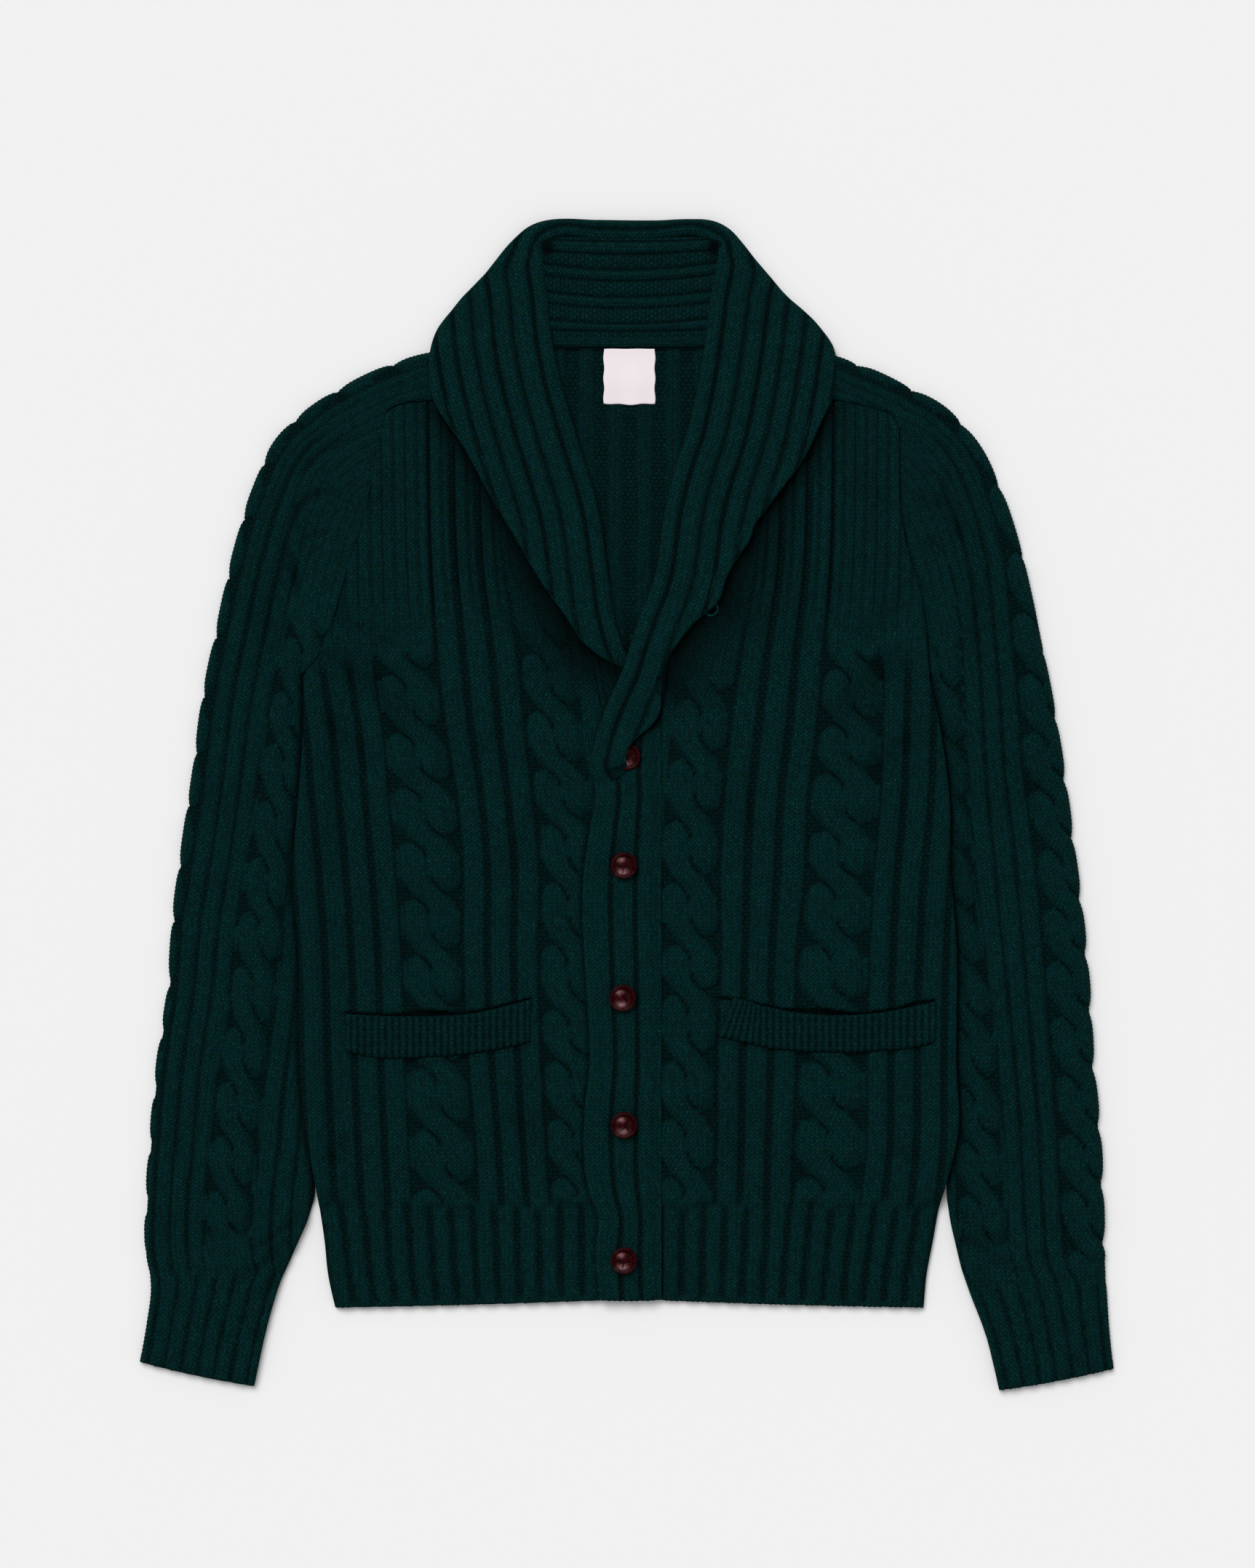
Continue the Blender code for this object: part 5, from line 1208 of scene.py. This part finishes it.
def weltPiece(side):
    table = welts[side]
    start, end = weltSpan(side)
    xs = np.linspace(start, end, int((end - start) / 0.86))
    low, high = column(table, "low", xs), column(table, "high", xs)
    share = np.linspace(0, 1, 24)[:, None]
    lean = 11.0 * share * (1 - smooth((xs - start) / 40)) if side == "left" else 0 * share
    x = np.broadcast_to(xs, (24, len(xs))) + lean
    y = lerp(low, high, share)
    ribs = round((end - start) / knit["weltPitch"])
    span = (xs - start) / (end - start)
    rise, isPurl = ribRelief(toNearest(span * ribs, 1) * (end - start) / ribs, knit["weltPitch"], "fine")
    relief, purl = np.broadcast_to(rise * 1.1, x.shape), np.broadcast_to(isPurl, x.shape)
    lift = bodyLift(side, x, y)
    base = twoLayers + knit["gap"] + lift + 0.8 * smooth(lift)
    drop = 0.9 * bell(high - y, 1.4) + 1.8 * bell(y - low, 1.3)
    drop += 2.6 * bell(xs - start, 2.6) + 2.6 * bell(end - xs, 2.6)
    top = base + knit["wall"] + relief - drop + share + 0.35 * slack(x * 1.4, y)
    uvs = cellUvs(span[None, :] * ribs + 0 * x, y / knit["course"])
    edgeRuns["welt_" + side] = np.stack([x[-1], y[-1] - 0.7, top[-1] - 0.6], -1)
    # painted shade in the purl troughs and along the welt's lower edge
    paintedShade = np.clip(0.55 * purl + 0.5 * bell(y - low, 1.6), 0, 1)
    fields = {"purl": 0.6 * purl, "paintedShade": paintedShade}
    return clothSheet("welt_" + side + "_rib", x, y, base, top, uvs, fields, collarWool)


bandOverPiece, bandUnderPiece = bandOver(), bandUnder()
weltPieces = {side: weltPiece(side) for side in sides}
print("bands and welts made")


def neckTape():
    xs = np.linspace(-64, 66, 88)
    rows = np.array(tape["rows"])
    low, high = (np.interp(xs, rows[:, 0], rows[:, i]) for i in (1, 2))
    share = np.linspace(0, 1, 8)[:, None]
    x, y = np.broadcast_to(xs, (8, 88)), lerp(low, high, share)
    base = upper * smooth((y - 339) / 14) + knit["wall"] + 0.3
    top = base + 0.9 + 0.9 * np.sin(np.pi * share)
    uvs = cellUvs(y / 3.4, x / 2.6)
    return clothSheet("neck_tape_knit", x, y, base, top, uvs, {"purl": 0 * x, "paintedShade": 0 * x}, collarWool)


def satin(name):
    # a woven polyester satin: long floats across, so the light runs in fine lines
    made, tree, shader = newMaterial(name)
    thin = addNode(tree, "ShaderNodeMapping", {}, {"Vector": objectPlace(tree), "Scale": (1, 6, 1)})
    threads = noise(tree, thin, 0.8, 2.0)
    setInputs(shader, {"Base Color": mixed(tree, threads, label["weft"], label["warp"]),
                       "Normal": bumped(tree, threads, 0.08, 0.5), "Roughness": 0.42, "Sheen Weight": 0.2})
    return made


def neckLabel():
    xs = np.linspace(label["left"], label["right"], 40)
    share = np.linspace(0, 1, 44)[:, None]
    low = label["low"] - 0.9 * np.sin(np.pi * (xs - xs[0]) / 38) - 0.35 * np.sin(xs / 2.7)
    x = np.broadcast_to(xs, (44, 40)) + 0.35 * np.sin(share * 17) * ((xs - 3) / 19)
    y = lerp(low, label["high"] - 0.1 * np.cos(xs / 3), share)
    base = knit["wall"] + 0.4 + 0.5 * np.sin((x + 3) / 7.5) ** 2 * (1 - share) + 0.25 * np.sin(y / 6)
    uvs = cellUvs(x, y)
    fields = {"purl": 0 * x, "paintedShade": 0 * x}
    return clothSheet("neck_label_satin", x, y, base, base + 0.45, uvs, fields, satin("wovenSatin"))


tapePiece, labelPiece = neckTape(), neckLabel()


button = {
    "rings": 34, "spokes": 72,
    # the colours: dark for the painted shade, wine and worn for the leather's own patches, the lightest for
    # the painted highlights, then the shine's tint
    "dark": "#060102", "wine": "#1E0406", "worn": "#30080B", "paintedHighlight": "#B88488", "gloss": "#B07C7C",
    "grainMm": 0.5,
    "roughness": 0.16,
    "specular": 0.13,
    "faceEnds": 0.8,          # the share of the rings that lie on the face
    "domeFoot": 0.58,         # heights as shares of the button's own, lengths as shares of its radius
    "domeRise": 0.40,
    "domeHalf": 0.98,
    "rimFoot": 0.42,
    "rimRise": 0.42,
    "rimMiddle": 0.86,
    "rimHalf": 0.16,
    "rimFrom": 0.70,
    "foldsFrom": (168, 8, -104),
    "foldDeep": 0.75,
    "heartY": -0.12,          # the domed middle sits a little low in its rim
    "foldsMeet": -0.16,
    "turns": (0.5, 0.0, 2.2, 0.9, 0.0),
}


def leather(name):
    # calf leather pressed over a core, dyed wine and polished, redder in random patches; painted shade
    # darkens its folds, the groove round its dome and its sides, and two painted highlights light its face
    made, tree, shader = newMaterial(name)
    place = objectPlace(tree)
    cells = 1 / (button["grainMm"] * mm)
    grain = addNode(tree, "ShaderNodeTexVoronoi", {}, {"Vector": place, "Scale": cells})
    cloud = noise(tree, place, 2.6, 4.0)
    share = addNode(tree, "ShaderNodeMapRange", {}, {0: cloud, 1: 0.36, 2: 0.66})
    colour = mixed(tree, share, button["wine"], button["worn"])
    colour = mixed(tree, field(tree, "paintedHighlight") * cloud, colour, button["paintedHighlight"])
    setInputs(shader, {"Base Color": mixed(tree, field(tree, "paintedShade"), colour, button["dark"]),
                       "Normal": bumped(tree, grain, 0.05, 0.35), "Roughness": button["roughness"],
                       "Specular IOR Level": button["specular"], "Specular Tint": rgba(button["gloss"])})
    return made


polishedLeather = leather("polishedCalfLeather")


def buttonPiece(number):
    low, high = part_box("button_%d" % number)
    cx, cy, base = (low[0] + high[0]) / 2 / mm, (low[1] + high[1]) / 2 / mm, low[2] / mm
    radius, tall = (high[0] - low[0]) / 2 / mm, (high[2] - low[2]) / mm
    ring = np.linspace(0, 1, button["rings"])[:, None]
    angle = np.linspace(0, 2 * np.pi, button["spokes"] + 1)[None, :]
    # the profile: a low dome, the rolled rim round it, and the flat back
    last = button["faceEnds"]
    face = ring < last
    out = np.where(face, np.sin(ring / last * np.pi / 2), lerp(1.0, 0.05, smooth((ring - last) / 0.2)))
    px, py = out * np.cos(angle), out * np.sin(angle)
    heart = np.hypot(px, py - button["heartY"] * (1 - out))
    domeArch, rimArch = (np.sqrt(np.clip(1 - (at / half) ** 2, 0, 1)) for at, half in (
        (heart, button["domeHalf"]), (out - button["rimMiddle"], button["rimHalf"])))
    dome = button["domeFoot"] + button["domeRise"] * domeArch
    rim = button["rimFoot"] + button["rimRise"] * rimArch
    toRim = smooth((heart - button["rimFrom"]) / 0.05)
    groove = bell(heart - button["rimFrom"] - 0.01, 0.035)
    flank = button["rimFoot"] * (1 - smooth((ring - last) / 0.08))
    rise = np.where(face, lerp(dome, rim, toRim) - 0.10 * groove, flank)
    # the leather's ends fold in and meet below the middle
    turn = button["turns"][number - 1]
    a, b = px * np.cos(turn) + py * np.sin(turn), py * np.cos(turn) - px * np.sin(turn)
    b = b - button["foldsMeet"]
    fold = np.zeros(a.shape)
    for away in map(math.radians, button["foldsFrom"]):
        ux, uy = math.cos(away), math.sin(away)
        off, on = np.abs(a * uy - b * ux), a * ux + b * uy
        width = lerp(0.055, 0.03, np.clip(on / 0.6, 0, 1))
        fold = np.maximum(fold, bell(off, width) * smooth((on + 0.03) / 0.05) * (1 - toRim))
    fold = fold * smooth((0.66 - heart) / 0.2)
    z = base + 0.1 + rise * (tall - 0.2) - button["foldDeep"] * fold * face
    x, y = cx + px * radius, cy + py * radius
    points = np.stack(np.broadcast_arrays(x, y, z), -1)
    # painted shade: in the folds, the groove round the dome, towards the outer edge and all over the sides
    # and back
    paintedShade = np.where(face, np.clip(fold + 0.75 * groove + 0.5 * smooth((out - 0.95) / 0.05), 0, 1), 0.9)
    uvs = cellUvs(*np.broadcast_arrays(angle / 6, ring + 0 * angle))
    # two painted highlights on the face, standing in for the lamp's reflections: a broad one low down and a
    # small one high up to the left
    paintedHighlight = bell(py + 0.48, 0.2) * bell(px + 0.1, 0.34) * face
    paintedHighlight += 0.9 * bell(py - 0.42, 0.16) * bell(px + 0.22, 0.22) * face
    fields = {"purl": 0 * paintedShade, "paintedShade": paintedShade[:, ::-1], "paintedHighlight": paintedHighlight[:, ::-1]}
    return clothSkin("leather_button_%d" % number, points[:, ::-1], uvs, fields, polishedLeather)


buttonPieces = [buttonPiece(n) for n in range(1, 6)]
print("label, tape and buttons made")


loop = {"x": 63.3, "y": 144.1, "radius": 5.0, "from": -138, "to": 42, "plies": 2, "plyRadius": 0.62,
        "apart": 0.5, "twistMm": 5.2}


def yarnLoop():
    # two plies wound round each other along a half ring
    low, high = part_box("yarn_loop")
    height = (low[2] + high[2]) / 2 / mm
    at = np.radians(np.linspace(loop["from"], loop["to"], 60))[:, None]
    around = np.linspace(0, 2 * np.pi, 11)[None, :]
    length = (at - at[0]) * loop["radius"]
    pieces = []
    for ply in range(loop["plies"]):
        phase = 2 * np.pi * (length / loop["twistMm"] + ply / loop["plies"])
        ring = loop["radius"] + loop["apart"] * np.cos(phase) + loop["plyRadius"] * np.cos(around)
        x, y = loop["x"] + ring * np.cos(at), loop["y"] + ring * np.sin(at)
        z = height + loop["apart"] * np.sin(phase) + loop["plyRadius"] * np.sin(around)
        uvs = cellUvs(*np.broadcast_arrays(around / 6, length / 3))
        points = np.stack(np.broadcast_arrays(x, y, z), -1)
        pieces.append(clothSkin("ply%d" % ply, points, uvs, {"purl": 0 * z, "paintedShade": 0 * z}, loopWool))
    return joinedTubes("collar_yarn_loop", pieces, loopWool)


loopPiece = yarnLoop()


chain = {"pitchMm": 3.9, "long": 3.8, "wide": 1.35, "tall": 1.3, "lean": 15.0, "segments": 8, "rings": 5,
         "short": 2.0}


def chainTree():
    # V stitches set along a line: two slanting strands at every step of the pitch
    tree = bpy.data.node_groups.new("chainStitches", "GeometryNodeTree")
    inputs = {"Line": "Geometry", "Pitch": "Float", "Long": "Float", "Wide": "Float", "Tall": "Float",
              "Lean": "Float", "Wool": "Material", "Seed": "Int"}
    for name, kind in inputs.items():
        tree.interface.new_socket(name, in_out="INPUT", socket_type="NodeSocket" + kind)
    tree.interface.new_socket("Stitches", in_out="OUTPUT", socket_type="NodeSocketGeometry")
    source = tree.nodes.new("NodeGroupInput")
    given = {name: Socket(source.outputs[name]) for name in inputs}

    def add(kind, inputs, out=0, **settings):
        return addNode(tree, "GeometryNode" + kind, settings, inputs, out)

    def vector(**inputs):
        return addNode(tree, "ShaderNodeCombineXYZ", {}, inputs)
    line = add("MeshToCurve", {"Mesh": given["Line"]})
    spaced = add("ResampleCurve", {"Curve": line, "Length": given["Pitch"]}, mode="LENGTH")
    size = vector(X=given["Long"], Y=given["Wide"], Z=given["Tall"])
    strand = add("MeshUVSphere", {"Segments": chain["segments"], "Rings": chain["rings"], "Radius": 0.5})
    both = tree.nodes.new("GeometryNodeJoinGeometry")
    for sign in (1.0, -1.0):
        half = add("Transform", {"Geometry": strand, "Translation": vector(Y=given["Wide"] * (0.52 * sign)),
                                 "Rotation": vector(Z=given["Lean"] * sign), "Scale": size})
        tree.links.new(half.out, both.inputs[0])
    tangent = add("InputTangent", {})
    facing = addNode(tree, "FunctionNodeAlignRotationToVector", {"axis": "X"}, {"Vector": tangent})
    loose = addNode(tree, "FunctionNodeRandomValue", {"data_type": "FLOAT"},
                    {2: 0.88, 3: 1.1, "Seed": given["Seed"]}, 1)
    placed = add("InstanceOnPoints", {"Points": spaced, "Instance": Socket(both.outputs[0]),
                                      "Rotation": facing, "Scale": loose})
    soft = add("SetShadeSmooth", {0: add("RealizeInstances", {"Geometry": placed})})
    done = add("SetMaterial", {"Geometry": soft, "Material": given["Wool"]})
    tree.links.new(done.out, tree.nodes.new("NodeGroupOutput").inputs[0])
    return tree


chainStitches = chainTree()


def chainAlong(name, run, pitch, seed, material):
    # the run is a line of points; its stitches come out as a plain mesh, short of the cloth's corners
    run = np.asarray(run)
    gone = np.append(0, np.cumsum(np.linalg.norm(np.diff(run, axis=0), axis=1)))
    run = run[(gone > chain["short"]) & (gone < gone[-1] - chain["short"])]
    line = bpy.data.meshes.new(name + "Line")
    line.from_pydata((run * mm).tolist(), [(i, i + 1) for i in range(len(run) - 1)], [])
    holder = addObject(name + "Line", line)
    made = holder.modifiers.new("chain", "NODES")
    made.node_group = chainStitches
    keys = {item.name: item.identifier for item in chainStitches.interface.items_tree}
    stitchLong = pitch / chain["pitchMm"] * mm * chain["long"]
    inputs = {"Pitch": pitch * mm, "Long": stitchLong, "Wide": chain["wide"] * mm, "Tall": chain["tall"] * mm,
              "Lean": math.radians(chain["lean"]), "Wool": material, "Seed": seed}
    for socket, value in inputs.items():
        made[keys[socket]] = value
    mesh = bpy.data.meshes.new_from_object(holder.evaluated_get(bpy.context.evaluated_depsgraph_get()))
    bpy.data.objects.remove(holder)
    layer = mesh.uv_layers.get("stitches") or mesh.uv_layers.new(name="stitches")
    layer.data.foreach_set("uv", np.tile([0.25, 0.5], len(mesh.loops)))
    return addObject(name, mesh)


chains = {node: chainAlong(name, edgeRuns[run], pitch, seed, material)
          for seed, (node, name, run, pitch, material) in enumerate((
              ("front_right", "hem_chain_right", "front_right", 3.9, knitWool),
              ("front_left", "hem_chain_left", "front_left", 3.9, knitWool),
              ("sleeve_right", "cuff_chain_right", "cuff_right", 3.4, knitWool),
              ("sleeve_left", "cuff_chain_left", "cuff_left", 3.4, knitWool),
              ("band_over", "band_chain", "band", 3.9, collarWool),
              ("welt_right", "welt_chain_right", "welt_right", 3.2, collarWool),
              ("welt_left", "welt_chain_left", "welt_left", 3.2, collarWool)), start=1)}
print("edge chains made")

replaced = {
    "back": backPiece, "front_left": fronts["left"], "front_right": fronts["right"],
    "sleeve_left": sleevePieces["left"], "sleeve_right": sleevePieces["right"],
    "collar_back": standInside, "band_over": bandOverPiece, "band_under": bandUnderPiece,
    "welt_left": weltPieces["left"], "welt_right": weltPieces["right"],
    "neck_tape": tapePiece, "neck_label": labelPiece,
}


def dress(piece, slot, *nodes):
    # a piece rides on the part and stands in for the nodes, if it is given any
    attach(piece, "root")
    if nodes:
        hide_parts(*nodes)


for piece in chains.values():
    dress(piece, "knit")
for node, piece in replaced.items():
    dress(piece, {"neck_tape": "tape", "neck_label": "satin"}.get(node, "knit"), node)
dress(collarRib, "knit", "collar_left", "collar_right")
dress(fallBehind, "knit")
for number, piece in enumerate(buttonPieces, start=1):
    dress(piece, "leather", "button_%d" % number)
dress(loopPiece, "knit", "yarn_loop")


stage = {"floor": "#FCFCFC", "halfSize": 4.0, "camera": (1.6, 14.3, 3233.0), "lens": 100.0,
         "sunFrom": (-0.34, 0.64, 1.0), "sunSpread": 38, "sun": 1.84, "sky": 0.43}


def makeStage():
    mesh = bpy.data.meshes.new("paleFloor")
    half = stage["halfSize"]
    corners = [(x * half, y * half, 0) for x, y in ((-1, -1), (1, -1), (1, 1), (-1, 1))]
    mesh.from_pydata(corners, [], [(0, 1, 2, 3)])
    # matte board: even and nearly white, with no shine
    made, _, shader = newMaterial("matteBoard")
    setInputs(shader, {"Base Color": rgba(stage["floor"]), "Roughness": 0.9, "Specular IOR Level": 0.1})
    mesh.materials.append(made)
    addObject("paleFloor", mesh)


def addSun(name, place, spread, strength):
    # a wide softbox far away, so that the light is even over the whole floor
    data = bpy.data.lights.new(name, "SUN")
    data.angle, data.energy = math.radians(spread), strength
    flat = math.hypot(place[0], place[1])
    turn = math.atan2(place[1], place[0]) + math.pi / 2
    addObject(name, data).rotation_euler = (math.atan2(flat, place[2]), 0, turn)


# Each cloth's cut in metres: across, along and area, with what it lies on. A sleeve is all round its tube.
cuts = {
    "back": (0.49, 0.71, 0.333, ["paleFloor"]),
    "front_right": (0.24, 0.675, 0.14, ["back"]),
    "front_left": (0.24, 0.675, 0.14, ["back"]),
    "sleeve_right": (0.30, 0.82, 0.18, ["paleFloor", "back"]),
    "sleeve_left": (0.30, 0.82, 0.18, ["paleFloor", "back"]),
    "collar_back": (0.19, 0.086, 0.0135, ["collar_fall_behind"]),
    "band_over": (0.056, 0.49, 0.026, ["band_under"]),
    "band_under": (0.032, 0.477, 0.0145, ["back"]),
    "welt_right": (0.139, 0.032, 0.0042, ["front_right"]),
    "welt_left": (0.162, 0.032, 0.0046, ["front_left"]),
    "neck_tape": (0.13, 0.0105, 0.00095, ["collar_back"]),
    "neck_label": (0.038, 0.0405, 0.00152, ["back"]),
}
for node, (across, along, area, under) in cuts.items():
    more = [chains[node]] if node in chains else []


makeStage()
addSun("overheadSoftbox", stage["sunFrom"], stage["sunSpread"], stage["sun"])
scene = bpy.context.scene
scene.world = bpy.data.worlds.new("studio")
scene.world.use_nodes = True
setInputs(scene.world.node_tree.nodes["Background"], {"Color": (1, 1, 1, 1), "Strength": stage["sky"]})

cameraData = bpy.data.cameras.new("above")
cameraData.lens, cameraData.sensor_width, cameraData.clip_end = stage["lens"], 36, 20
scene.camera = addObject("above", cameraData)
scene.camera.location = [c * mm for c in stage["camera"]]
scene.view_settings.view_transform = "Standard"
scene.view_settings.look = "None"
